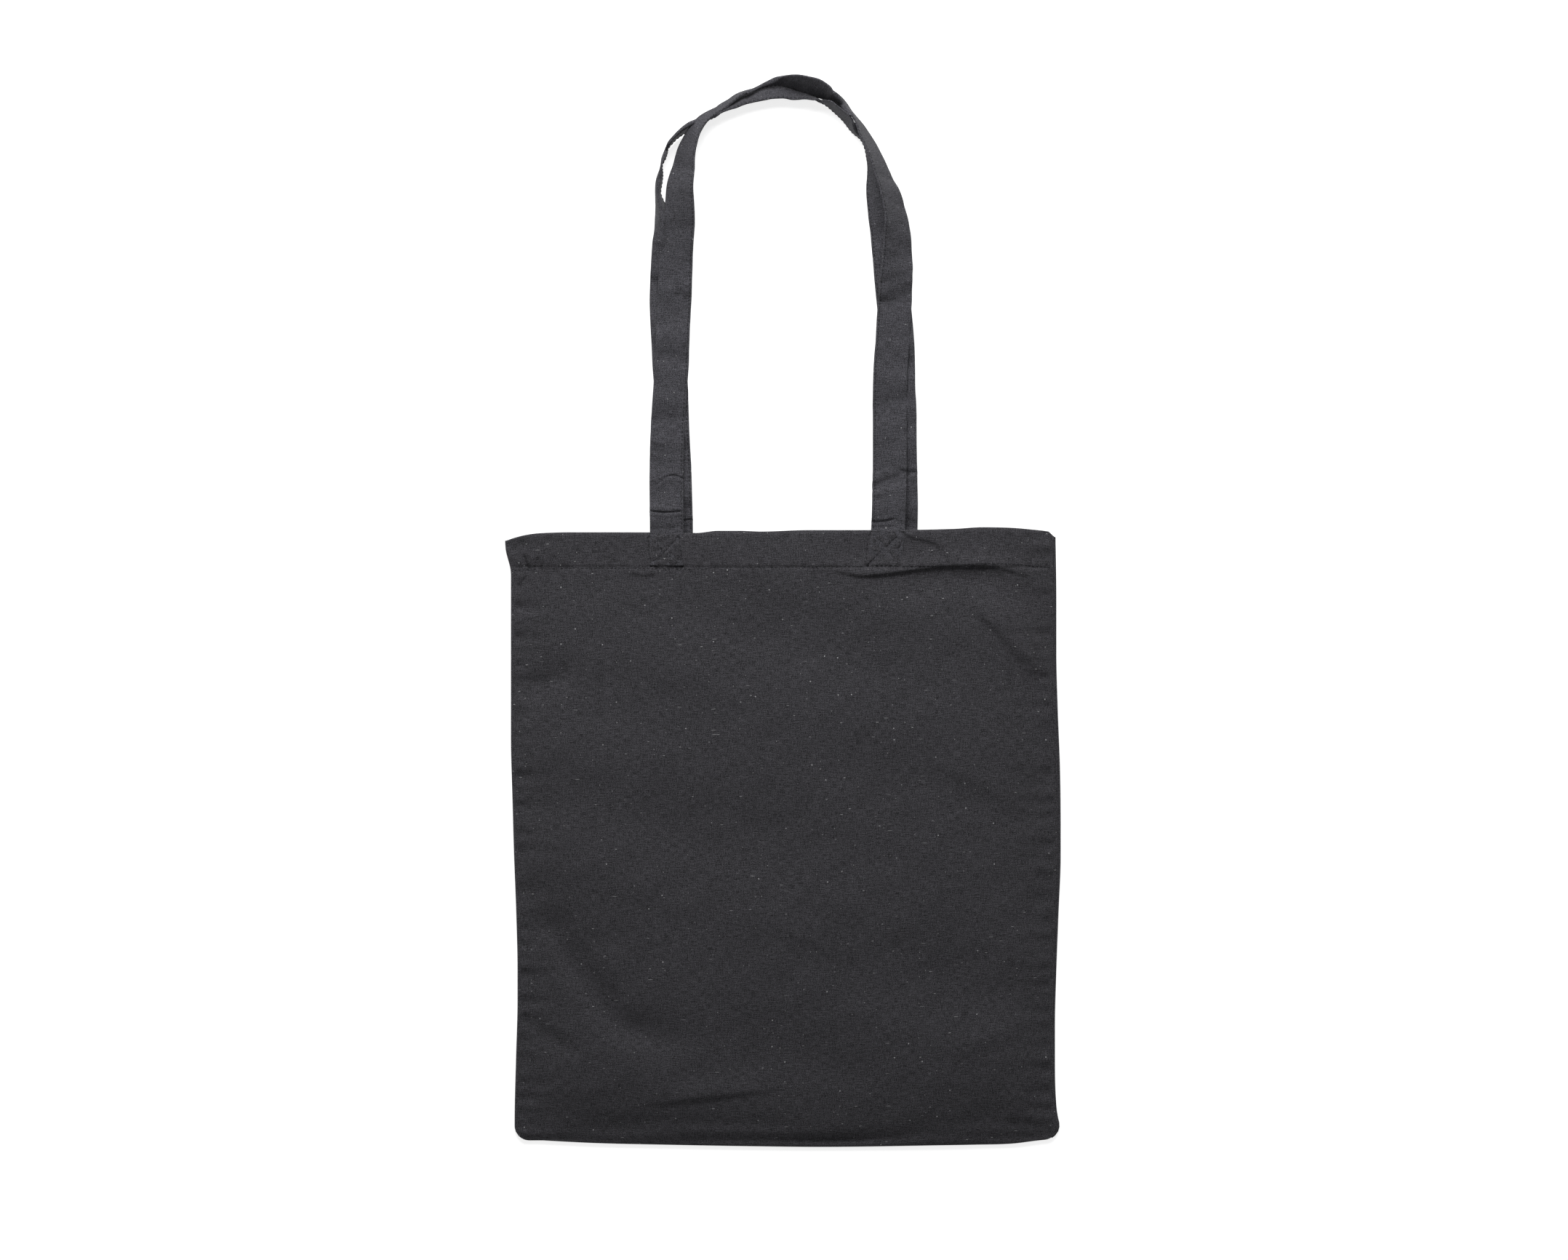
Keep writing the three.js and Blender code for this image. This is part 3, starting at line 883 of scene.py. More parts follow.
    def side_places(self) -> Array:
        """The grid's places across the bag, twice as close near its sides and at the strap roots.

        Returns:
            Places from left to right.
        """
        inner = self._insets(self.outline.half)
        gaps = np.diff(inner)
        middles = inner[:-1] + gaps / 2
        reach = self.outline.half - middles
        close = (reach > self.outline.half - 30) | ((reach > 58) & (reach < 98))
        inner = np.sort(np.append(inner, middles[close & (gaps > 0.9)]))
        return np.concatenate([self.outline.left + inner, (self.outline.right - inner[:-1])[::-1]])

    def up_places(self) -> Array:
        """The grid's places along the bag, from the bottom fold to where the mouth's roll begins.

        Returns:
            Places from the fold up.
        """
        fine = self.hem_depth + 9
        length = self.outline.height - fine
        lower = self._insets(length)
        upper = np.arange(length + self.fine_step, self.outline.height - self.mouth_roll, self.fine_step)
        top = [self.outline.height - self.mouth_roll]
        return self.outline.bottom + np.concatenate([lower, upper, top])

    def _relief(self, x: Array, depth: Array, inset: Array) -> Array:
        """Folds, waves, puckers and sewn lines, added to the plain loft.

        Args:
            x: places across the bag.
            depth: places below its mouth.
            inset: distances in from the nearest edge.

        Returns:
            The height to add at each place.
        """
        total = sum(f.height_at(x, depth) for f in self.folds)
        inside = eased(inset / 14)
        total = total + sum(r.at(x, depth) for r in self.ripples) * inside
        fading = np.exp(-inset / self.gather_reach) * eased(inset / 1.2)
        total = total + self.gathers.at(x, depth) * fading
        row = depth - self.hem_depth
        total = total + self.puckers.at(x, depth) * np.exp(-((row / self.pucker_reach) ** 2))
        deep, wide = self.row_groove
        total = total - deep * np.exp(-((row / wide) ** 2))
        total = total + self.hem_rise * eased(-row / 1.5) * eased(depth / 3 + 0.4)
        for root in self.roots:
            total = total + self._sewn(root, x, depth)
        return total

    def _sewn(self, root: Root, x: Array, depth: Array) -> Array:
        """The raised strap end and the grooves of its box of stitching.

        Args:
            root: the strap end.
            x: places across the bag.
            depth: places below its mouth.

        Returns:
            The height to add at each place.
        """
        c = root.corners()
        share = np.clip((depth - c[0, 1]) / (c[3, 1] - c[0, 1]), 0, 1)
        middle = (c[0, 0] + c[1, 0]) / 2 * (1 - share) + (c[2, 0] + c[3, 0]) / 2 * share
        over = np.minimum(root.width / 2 + 1.2 - np.abs(x - middle), c[2, 1] + 1.0 - depth)
        total = self.tail_rise * eased(over / 1.6 + 0.5)
        deep, wide = self.box_groove
        for a, b in root.lines():
            d = b - a
            t = np.clip(((x - a[0]) * d[0] + (depth - a[1]) * d[1]) / (d @ d), 0, 1)
            far = np.hypot(x - a[0] - t * d[0], depth - a[1] - t * d[1])
            total = total - deep * np.exp(-((far / wide) ** 2)) * (over > -3)
        return total + self.crumple.at(x, depth) * eased(over / 3)

    def height(self, x: Array, y: Array) -> Array:
        """Height of the sheet's middle over the floor.

        Args:
            x: places across the plain rectangle.
            y: places along it.

        Returns:
            Heights in millimetres.
        """
        line = self.outline
        low = self.thickness / 2 + 2 * (line.seam - self.thickness / 2)
        inset = line.half - np.abs(x)
        above = y - line.bottom
        side = line.seam + 0.5 + (low - line.seam - 0.5) * self._rolled(inset / self.edge_roll)
        fold = line.seam + (low - line.seam) * self._rolled(above / (line.seam - self.thickness / 2))
        climb = (line.top - self.thickness / 2 - low) * self._flank(inset) * self._flank(above)
        real_x, real_y = line.place(x, y, True)
        relief = self._relief(real_x, line.mouth - real_y, np.minimum(inset, above))
        soft = eased(np.minimum(inset, above) / 6 + 0.08)
        return np.minimum(side, fold) + climb + relief * soft

    def _rolled(self, share: Array) -> Array:
        """A quarter turn: 0 at the edge, 1 where the roll ends."""
        return np.sqrt(np.maximum(1 - (1 - np.clip(share, 0, 1)) ** 2, 0))

    def _flank(self, inset: Array) -> Array:
        """How far the cloth has climbed to its full height at a distance from an edge."""
        return np.sin(math.pi / 2 * np.clip(inset / self.flank, 0, 1)) ** self.flank_power

    def surface(self, x: Array, y: Array) -> Array:
        """Points on the sheet's outer face.

        Args:
            x: places across the plain rectangle.
            y: places along it.

        Returns:
            The points, in millimetres.
        """
        real_x, real_y = self.outline.place(x, y, True)
        z = self.height(x, y) + self.thickness / 2
        return np.stack([real_x, real_y, z], axis=-1)

    def sheet(self) -> Sheet:
        """The panel as a grid: under the bottom fold, up over the front and round the mouth.

        Returns:
            The sheet.
        """
        line = self.outline
        x, y = np.meshgrid(self.side_places(), self.up_places())
        real_x, real_y = line.place(x, y, True)
        main = np.stack([real_x, real_y, self.height(x, y)], axis=-1)
        radius = line.seam - self.thickness / 2
        under = []
        for turn in np.linspace(math.pi / 2, 0, 5)[:-1]:
            row = main[0].copy()
            row[:, 1] += radius * (1 - math.cos(turn))
            row[:, 2] = line.seam - radius * math.sin(turn)
            under.append(row)
        over = []
        for turn in np.linspace(0, math.pi, 7)[1:]:
            row = main[-1].copy()
            row[:, 1] += self.mouth_roll * math.sin(turn)
            row[:, 2] -= self.mouth_roll * (1 - math.cos(turn))
            over.append(row)
        middle = np.concatenate([np.array(under), main, np.array(over)])
        steps = np.linalg.norm(np.diff(middle, axis=0), axis=2).mean(axis=1)
        run = np.concatenate([[0], np.cumsum(steps)])
        flat = np.stack(np.broadcast_arrays(x[0][None, :], run[:, None]), axis=-1)
        # painted highlight and rubbing: the rolled sides, the bottom fold and the mouth's roll are painted
        # lighter
        wear_and_highlight = np.zeros(middle.shape[:2])
        wear_and_highlight[:, [0, 1, 2, -3, -2, -1]] = 0.5
        wear_and_highlight[:6] = 0.3
        wear_and_highlight[-9:-3] = 0.7
        return Sheet(middle, flat, wear_and_highlight, self.thickness)

    def hem_sheet(self) -> Sheet:
        """The hem's inner layer, which hangs under the panel from the mouth's roll.

        Returns:
            The sheet.
        """
        line = self.outline
        end = line.mouth - self.mouth_roll
        x, y = np.meshgrid(self.side_places()[5:-5], np.linspace(line.mouth - self.hem_depth - 0.6, end, 12))
        real_x, real_y = line.place(x, y, True)
        z = self.height(x, y) - 2 * self.mouth_roll
        flat = np.stack([x, line.mouth - y], axis=-1)
        return Sheet(np.stack([real_x, real_y, z], axis=-1), flat, np.zeros_like(x), self.thickness)

    def path(self, start: tuple[float, float], end: tuple[float, float]) -> tuple[Array, Array]:
        """A straight line of stitching on the outer face.

        Args:
            start: where it starts, across and below the mouth.
            end: where it ends.

        Returns:
            Points on the face, and the face's normals there.
        """
        count = max(int(math.dist(start, end) / 0.8), 4)
        x = np.linspace(start[0], end[0], count)
        y = self.outline.mouth - np.linspace(start[1], end[1], count)
        place = self.surface(x, y)
        nudge = 0.4
        slope_x = (self.height(x + nudge, y) - self.height(x - nudge, y)) / (2 * nudge)
        slope_y = (self.height(x, y + nudge) - self.height(x, y - nudge)) / (2 * nudge)
        up = np.stack([-slope_x, -slope_y, np.ones_like(x)], axis=-1)
        return place, up / np.linalg.norm(up, axis=1, keepdims=True)

    def build(self, wardrobe: Wardrobe) -> None:
        """Makes the panel, its hem and their stitches.

        Args:
            wardrobe: the finishes to dress them in.
        """
        grid = self.sheet()
        hem = self.hem_sheet()
        centre = grid.middle.shape[1] // 2
        hem_centre = hem.middle.shape[1] // 2
        for side, name, keep in ((-1, "left", slice(0, centre + 1)), (1, "right", slice(centre, None))):
            cloth = grid.piece(f"front_cloth_{name}", keep)
            hem_keep = slice(0, hem_centre + 1) if side < 0 else slice(hem_centre, None)
            band = hem.piece(f"front_hem_{name}", hem_keep)
            inner = 3.0
            outer = self.outline.half - 1.5
            row = self.path((side * inner, self.hem_depth), (side * outer, self.hem_depth))
            stitches = StitchRow().piece(f"front_hem_stitches_{name}", [row])
            canvas, thread = wardrobe.canvas, wardrobe.thread
            for piece, finish in ((cloth, canvas), (band, canvas), (stitches, thread)):
                wardrobe.dress(piece, finish)
                self._hang(piece, side)
            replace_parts(stitches, "front_hem_stitch")
            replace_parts(band, "front_hem")
            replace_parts(cloth, "front_panel", "bottom_fold")
            size = (self.outline.half * MM, self.outline.height * MM)
            hem_size = (self.outline.half * MM, self.hem_depth * MM)
        for root, name in zip(self.roots, ("left", "right")):
            rows = [self.path(tuple(a), tuple(b)) for a, b in root.lines()]
            box = StitchRow().piece(f"front_{name}_box_stitches", rows)
            wardrobe.dress(box, wardrobe.thread)
            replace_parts(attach(box, "front"), f"front_{name}_box_stitch")

    def _hang(self, piece: bpy.types.Object, side: int) -> None:
        """Bakes a piece's transform into its mesh.

        Args:
            piece: the piece to bake.
            side: -1 for the bag's left half and 1 for its right; not used.
        """
        seam = (side * self.outline.half * MM, 0, 0)
        inner = (side * self.outline.half * 0.49 * MM, 0, 0)
        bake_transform(piece)


@dataclass
class BackCloth:
    """The back panel, its hem, the side seams inside the bag and their overlocked edges."""

    outline: Outline
    hem_depth: float = 25.0
    step: float = 4.0
    thickness: float = 0.45
    roll: float = 0.6
    mouth_roll: float = 0.4
    allowance: float = 9.0
    ripple: Ripple = Ripple(0.12, 25, 60, 51)

    def _floor(self, x: Array, y: Array) -> Array:
        """Height of the panel's middle: half its thickness, and a little more where it ripples."""
        return self.thickness / 2 + np.abs(self.ripple.at(x, y)) * eased((self.outline.half - np.abs(x)) / 20)

    def sheet(self) -> Sheet:
        """The panel as a grid, with its sides and its mouth rolled up and over.

        Returns:
            The sheet.
        """
        line = self.outline
        count = math.ceil(2 * line.half / self.step)
        turns = np.linspace(math.pi, 0, 7)
        flat_x = np.linspace(line.left + self.roll, line.right - self.roll, count)
        rows = np.arange(16, line.height - 6, self.step)
        y = line.bottom + np.concatenate([[line.seam, 3, 6, 9, 12], rows])
        y = np.append(y, [line.mouth - 3, line.mouth - 1.2, line.mouth - self.mouth_roll])
        grid_x, grid_y = np.meshgrid(flat_x, y)
        real_x, real_y = line.place(grid_x, grid_y, False)
        middle = np.stack([real_x, real_y, self._floor(grid_x, grid_y)], axis=-1)
        middle = self._with_sides(middle, line.mouth - y, turns)
        over = []
        for turn in np.linspace(0, math.pi, 6)[1:]:
            row = middle[-1].copy()
            row[:, 1] += self.mouth_roll * math.sin(turn)
            row[:, 2] += self.mouth_roll * (1 - math.cos(turn))
            over.append(row)
        middle = np.concatenate([middle, np.array(over)])
        run = np.concatenate([[0], np.cumsum(np.linalg.norm(np.diff(middle[:, 20], axis=0), axis=1))])
        across = np.concatenate([[0], np.cumsum(np.linalg.norm(np.diff(middle[20], axis=0), axis=1))])
        flat = np.stack(np.meshgrid(across - line.half, run), axis=-1)
        # painted highlight and rubbing: the rolled sides are painted lighter
        wear_and_highlight = np.zeros(middle.shape[:2])
        wear_and_highlight[:, :8] = 0.4
        wear_and_highlight[:, -8:] = 0.4
        return Sheet(middle, flat, wear_and_highlight, self.thickness)

    def _with_sides(self, middle: Array, depth: Array, turns: Array) -> Array:
        """Adds a half turn up and over at each side, and the strip in to the seam.

        Args:
            middle: the flat part of the grid.
            depth: how far each row lies below the mouth.
            turns: angles of the half turn's columns, from its end to its start.

        Returns:
            The grid with its sides.
        """
        left_peek = np.full_like(depth, self.outline.left_peek)
        right_peek = curve_through(*zip(*self.outline.right_peek), depth)
        sides = []
        for edge, out, peek in ((middle[:, 0], -1, left_peek), (middle[:, -1], 1, right_peek)):
            columns = []
            for turn in turns[:-1]:
                column = edge.copy()
                column[:, 0] += out * self.roll * math.sin(turn)
                column[:, 2] += self.roll * (1 - math.cos(turn))
                columns.append(column)
            inner = columns[0].copy()
            inner[:, 0] -= out * (peek + 0.8)
            inner[:, 2] += 0.1
            sides.append([inner, *columns])
        left = np.stack(sides[0], axis=1)
        right = np.stack(sides[1][::-1], axis=1)
        return np.concatenate([left, middle, right], axis=1)

    def hem_sheet(self) -> Sheet:
        """The back hem's inner layer.

        Returns:
            The sheet.
        """
        line = self.outline
        x, y = np.meshgrid(
            np.linspace(line.left + 1.5, line.right - 1.5, 120),
            np.linspace(line.mouth - self.hem_depth - 0.6, line.mouth - self.mouth_roll, 8),
        )
        real_x, real_y = line.place(x, y, False)
        middle = np.stack([real_x, real_y, self._floor(x, y) + 2 * self.mouth_roll], axis=-1)
        return Sheet(middle, np.stack([x, line.mouth - y], axis=-1), np.zeros_like(x), self.thickness)

    def _inside_path(
        self, start: tuple[float, float], end: tuple[float, float], z: float
    ) -> tuple[Array, Array]:
        """A straight line of stitching inside the bag at one height.

        Args:
            start: where it starts, across and below the mouth.
            end: where it ends.
            z: its height over the floor.

        Returns:
            Points on the line, and normals there.
        """
        count = 60
        x = np.linspace(start[0], end[0], count)
        y = self.outline.mouth - np.linspace(start[1], end[1], count)
        real_x, real_y = self.outline.place(x, y, False)
        path = np.stack([real_x, real_y, np.full(count, z)], axis=-1)
        return path, np.tile([0.0, 0.0, 1.0], (count, 1))

    def _seams(self, wardrobe: Wardrobe) -> None:
        """Makes the turned-in seam allowances, and the thread over their raw edges.

        Args:
            wardrobe: the finishes to dress them in.
        """
        line = self.outline
        for side, name in ((-1, "left"), (1, "right")):
            inset, y = np.meshgrid(
                np.linspace(1.2, self.allowance, 7),
                np.linspace(line.bottom + line.corner_radius, line.mouth - self.hem_depth - 0.5, 130),
            )
            x = side * (line.half - inset)
            real_x, real_y = line.place(x, y, False)
            wave = Ripple(0.18, 9, 22, 61).at(np.zeros_like(y), y) * eased((inset - 3) / 6)
            middle = np.stack([real_x, real_y, line.seam + 0.15 + wave], axis=-1)
            if side > 0:
                middle = middle[:, ::-1]
            grid = Sheet(middle, np.stack([x, y], axis=-1), np.zeros_like(x), 1.0)
            seam = grid.piece(f"{name}_side_seam_allowance")
            wardrobe.dress(seam, wardrobe.canvas)
            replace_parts(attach(seam, "back"), f"{name}_side_seam")
            thread = self._overlock(name, side, middle)
            wardrobe.dress(thread, wardrobe.thread)
            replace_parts(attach(thread, "back"), f"{name}_seam_overlock")

    def _overlock(self, name: str, side: int, middle: Array) -> bpy.types.Object:
        """Makes slanting loops of thread over an allowance's raw edge.

        Args:
            name: left or right.
            side: -1 for the left seam and 1 for the right.
            middle: the allowance's grid of points.

        Returns:
            The new object.
        """
        edge = middle[:, -1 if side < 0 else 0]
        run = np.concatenate([[0], np.cumsum(np.linalg.norm(np.diff(edge, axis=0), axis=1))])
        at = np.arange(1, run[-1] - 2, 2.2)
        paths = []
        for place in at:
            a, b = (np.array([np.interp(place + s, run, edge[:, k]) for k in range(3)]) for s in (0, 1.4))
            a = a + np.array([side * 1.8, 0, 0.55])
            b = b - np.array([side * 0.25, 0, -0.2])
            paths.append((np.stack([a, b]), np.tile([0.0, 0.0, 1.0], (2, 1))))
        for offset, height in ((1.9, 0.55), (-0.3, 0.1)):
            line = edge + np.array([side * offset, 0, height])
            paths.append((line, np.tile([0.0, 0.0, 1.0], (len(line), 1))))
        return StitchRow(pitch=2.3, length=2.2, radius=0.16).piece(f"{name}_overlock_thread", paths)

    def build(self, wardrobe: Wardrobe, roots: tuple[Root, Root]) -> None:
        """Makes the panel, its hem, the seams and the stitches, all of which ride on the back.

        Args:
            wardrobe: the finishes to dress them in.
            roots: where the two strap ends are sewn.
        """
        cloth = self.sheet().piece("back_cloth")
        hem = self.hem_sheet().piece("back_hem_band")
        reach = self.outline.half - self.allowance
        row = self._inside_path((-reach, self.hem_depth), (reach, self.hem_depth), 1.55)
        stitches = StitchRow().piece("back_hem_stitches", [row])
        made = (
            (cloth, wardrobe.canvas, "back_panel"),
            (hem, wardrobe.canvas, "back_hem"),
            (stitches, wardrobe.thread, "back_hem_stitch"),
        )
        for piece, finish, node in made:
            wardrobe.dress(piece, finish)
            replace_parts(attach(piece, "back"), node)
        self._seams(wardrobe)
        for root, name in zip(roots, ("left", "right")):
            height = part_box(f"back_{name}_tail")[1].z / MM + 0.1
            rows = [self._inside_path(tuple(a), tuple(b), height) for a, b in root.lines()]
            box = StitchRow().piece(f"back_{name}_box_stitches", rows)
            wardrobe.dress(box, wardrobe.thread)
            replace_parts(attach(box, "back"), f"back_{name}_box_stitch")
        self.outline.height * MM
        self.hem_depth * MM


# ---------------------------------------------------------------------------------------------
# The handles


@dataclass(frozen=True)
class Crease:
    """A dent across a strap, at a place along it and over part of its width."""

    at: float  # millimetres beyond the mouth
    depth: float
    width: float
    slant: float = 0.0  # how far it moves from the mouth between its inner and its outer end
    bow: float = 0.0  # how far its middle is bowed away from the mouth
    reach: tuple[float, float] = (0.0, 1.0)  # the share of the strap's width that it covers
    right: bool = False  # whether it is on the right leg

    def depth_at(self, beyond: Array, share: Array, right_leg: Array) -> Array:
        """Depth of the dent at each place.

        Args:
            beyond: distance along the strap from the mouth.
            share: place across the strap, from its inner (0) to its outer (1) rail.
            right_leg: whether each place is on the right leg.

        Returns:
            Depths in millimetres.
        """
        low, high = self.reach
        along = np.clip((share - low) / (high - low), 0, 1)
        line = self.at + self.slant * along + self.bow * 4 * along * (1 - along)
        within = eased((share - low) / 0.08 + 0.5) * eased((high - share) / 0.08 + 0.5)
        away = (beyond - line) / self.width
        dent = self.depth * (np.exp(-(away**2)) - 0.35 * np.exp(-((np.abs(away) - 2.2) ** 2)))
        return dent * within * (right_leg == self.right)


@dataclass(frozen=True)
class StrapWaves:
    """Random waves along a strap, drawn in turn from the strap's own generator."""

    count: int
    height: float
    shortest: float
    longest: float
    slant: float  # how far a wave may move along the strap from its inner to its outer rail

    def at(self, draw: np.random.Generator, run: Array, share: Array) -> Array:
        """Height of the waves.

        Args:
            draw: the strap's generator.
            run: distance along the strap, (steps, 1).
            share: place across it, (1, ribs).

        Returns:
            Heights in millimetres, (steps, ribs).
        """
        total = np.zeros((run.shape[0], share.shape[1]))
        for _ in range(self.count):
            length = draw.uniform(self.shortest, self.longest)
            phase = draw.uniform(0, 6.3)
            slant = draw.uniform(-self.slant, self.slant)
            total += self.height * np.cos(2 * math.pi * (run + slant * share) / length + phase)
        return total


@dataclass
class Strap:
    """A handle: cloth folded to a flat strap, whose loop twists up on its edge where it turns."""

    name: str
    root_body: str
    loop_body: str
    mouth: float
    stations: tuple[tuple[float, float, float, float, float], ...]
    tail_height: float  # height of the sewn ends' undersides
    lie_height: float  # height of the loop's underside where it lies flat
    seed: int
    creases: tuple[Crease, ...] = ()
    waves: tuple[StrapWaves, ...] = (StrapWaves(14, 0.27, 17, 60, 9), StrapWaves(10, 0.03, 5, 12, 5))
    width: float = 23.5
    thickness: float = 1.15
    leg_step: float = 0.75
    arch_step: float = 1.35
    leg_reach: float = 100.0
    ribs: int = 22
    root_run: float = 79.0
    crest_softness: float = 0.05
    stitch_inset: float = 1.5
    lip: float = 0.55  # depth of the groove between the two folded edges that are sewn together
    slack: float = 1.8  # how far the strap lies off what is under it, on average
    slump: tuple[float, float, float] = (0.0, 0.0, 0.0)  # from and to across the bag, and how much
    slump_ease: float = 20.0  # how far across the bag each end of the slump dies away
    arch_start: float = 250.0  # where the arch starts, beyond the mouth
    blend_before: float = 2.0
    blend_after: float = 13.0
    nodes: tuple[str, ...] = field(default_factory=tuple)

    def _course(self) -> tuple[Array, Array, Array, Array, Array, Array]:
        """The strap's middle in plan, its distance along, and how it stands.

        Returns:
            Plan points, distances, and the tilt in radians, crest, height and plan width at each step.
        """
        table = np.array(self.stations, float)
        plan = table[:, :2] + np.array([0, self.mouth])
        knots = np.concatenate([[0], np.cumsum(np.linalg.norm(np.diff(plan, axis=0), axis=1))])
        leg = np.arange(0, self.leg_reach, self.leg_step)
        steps = int((knots[-1] - 200) / self.arch_step)
        arch = np.linspace(self.leg_reach, knots[-1] - self.leg_reach, steps)
        run = np.concatenate([leg, arch, knots[-1] - leg[::-1]])
        path = curve_through(knots, plan, run, False)
        stance = curve_through(knots, table[:, 2:], run)
        share = np.clip((stance[:, 0] - self.thickness) / (self.width - self.thickness), 0, 1)
        fallen = eased((path[:, 1] - self.mouth) / self.root_run)
        height = self.tail_height + (self.lie_height - self.tail_height) * fallen + stance[:, 2]
        return path, run, np.arccos(share), stance[:, 1], height, share * self.width

    def _bands(self, run: Array, share: Array) -> Array:
        """Soft waves along the strap and its creases, as heights over its flat section.

        Args:
            run: distance along the strap, (steps, 1).
            share: place across it, (1, ribs).

        Returns:
            Heights in millimetres, (steps, ribs).
        """
        draw = np.random.default_rng(self.seed)
        total = sum(waves.at(draw, run, share) for waves in self.waves)
        tail = -self.stations[0][1]
        half = run.max() / 2
        right = run > half
        beyond = np.where(right, 2 * half - run, run) - tail
        for crease in self.creases:
            total -= crease.depth_at(beyond, share, right)
        return total

    def _stands(self, path: Array) -> Array:
        """How much of its height the strap keeps at each step: less where it has slumped in the arch.

        Args:
            path: the strap's middle in plan.

        Returns:
            Shares of the height, from 0 to 1.
        """
        start, end, share = self.slump
        across = path[:, 0]
        within = eased((across - start) / self.slump_ease) * eased((end - across) / self.slump_ease)
        return 1 - share * within * (path[:, 1] > self.mouth + self.arch_start)

    def _section(self) -> tuple[Array, Array, Array, Array]:
        """The strap's middle surface.

        Returns:
            Points and normals (steps, ribs, 3), distances along, and shares of the width.
        """
        path, run, tilt, crest, height, span = self._course()
        heading = np.gradient(path, axis=0)
        heading /= np.linalg.norm(heading, axis=1, keepdims=True)
        out = np.stack([-heading[:, 1], heading[:, 0]], axis=1)
        share = np.linspace(0, 1, self.ribs)
        lean = -tilt[:, None] * np.tanh((share[None, :] - crest[:, None]) / self.crest_softness)
        width = self.width / (self.ribs - 1)
        mid = (lean[:, 1:] + lean[:, :-1]) / 2
        start = np.zeros((len(run), 1))
        side = np.concatenate([start, np.cumsum(np.cos(mid) * width, axis=1)], axis=1)
        rise = np.concatenate([start, np.cumsum(np.sin(mid) * width, axis=1)], axis=1)
        reach = side.max(axis=1) - side.min(axis=1)
        side *= (span / np.maximum(reach, 1e-6))[:, None]
        side -= (side.max(axis=1, keepdims=True) + side.min(axis=1, keepdims=True)) / 2
        rise -= rise.min(axis=1, keepdims=True)
        rise *= self._stands(path)[:, None]
        lift = height[:, None] + self.thickness / 2 * np.abs(np.cos(lean)).max(axis=1, keepdims=True)
        sewn = eased((path[:, 1] - self.mouth) / 3)[:, None]
        wave = self._bands(run[:, None], share[None, :]) * sewn
        plan = path[:, None, :] + out[:, None, :] * side[..., None]
        normal_side, normal_up = -np.sin(lean), np.cos(lean)
        plan = plan + out[:, None, :] * (0.4 * wave * normal_side)[..., None]
        up = np.maximum(rise + lift + self.slack + wave * normal_up, lift)
        points = np.concatenate([plan, up[..., None]], axis=2)
        normals = grid_normals(points)
        flip = np.sign((normals[..., 2] * normal_up).sum(axis=1) + 1e-9)
        sideways = (normals[..., :2] * out[:, None, :]).sum(axis=2) * normal_side
        flip = np.where(np.abs(normal_up).max(axis=1) > 0.2, flip, np.sign(sideways.sum(axis=1) + 1e-9))
        return points, normals * flip[:, None, None], run, share

    def build(self, wardrobe: Wardrobe) -> None:
        """Makes the strap and the stitches along its inner edge.

        Args:
            wardrobe: the finishes to dress them in.
        """
        points, normals, run, share = self._section()
        steps = len(run)
        edge = np.minimum(share, 1 - share) * self.width
        half = self.thickness / 2 * np.sqrt(np.clip(1 - (1 - np.clip(edge / 0.7, 0, 1)) ** 2, 0.35, 1))
        upper = points + normals * half[None, :, None]
        lower = points - normals * half[None, :, None]
        into = points[:, 1] - points[:, 0]
        into /= np.linalg.norm(into, axis=1, keepdims=True)
        groove = points[:, :1] + self.lip * into[:, None, :]
        ring = np.concatenate([upper, lower[:, ::-1], groove], axis=1)
        count = ring.shape[1]
        index = np.arange(steps * count).reshape(steps, count)
        index = np.concatenate([index, index[:, :1]], axis=1)
        a, b, c, d = index[:-1, :-1], index[:-1, 1:], index[1:, 1:], index[1:, :-1]
        quads = [np.stack([a, b, c, d], axis=-1).reshape(-1, 4)]
        for row, turned in ((index[0], False), (index[-1], True)):
            last = 2 * self.ribs - 1
            caps = [(row[i], row[last - i], row[last - 1 - i], row[i + 1]) for i in range(self.ribs - 1)]
            caps.append((row[0], row[2 * self.ribs], row[last], row[last]))
            quads.append(np.array([cap[:2][::-1] + cap[2:][::-1] if turned else cap for cap in caps]))
        quads = np.concatenate(quads)
        across = np.concatenate([share, share[::-1], [0.0]]) * self.width
        flat = np.stack(np.broadcast_arrays(across[None, :], run[:, None]), axis=-1).reshape(-1, 2)
        # painted highlight and rubbing: the strap's rounded rails are painted lighter
        worn_and_highlit = np.concatenate([edge, edge[::-1], [9.0]]) < 0.8
        wear_and_highlight = np.broadcast_to(worn_and_highlit * 0.6, ring.shape[:2]).ravel()
        strap = make_piece(f"{self.name}_strap", ring.reshape(-1, 3), quads, flat, wear_and_highlight)
        row = self.stitch_inset / self.width * (self.ribs - 1)
        low = int(row)
        mix = row - low
        path = upper[:, low] * (1 - mix) + upper[:, low + 1] * mix
        shown = (run > 24) & (run < run[-1] - 24)
        stitches = StitchRow().piece(f"{self.name}_strap_edge_stitches", [(path[shown], normals[shown, low])])
        for piece, finish in ((strap, wardrobe.webbing), (stitches, wardrobe.thread)):
            wardrobe.dress(piece, finish)
            start = (0, (self.mouth - self.blend_before) * MM, 0)
            end = (0, (self.mouth + self.blend_after) * MM, 0)
            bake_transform(piece)
        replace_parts(strap, *self.nodes)
        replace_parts(stitches, f"{self.name}_handle_edge_stitch")
        log.info("%s strap: %.0f mm long", self.name, run[-1])


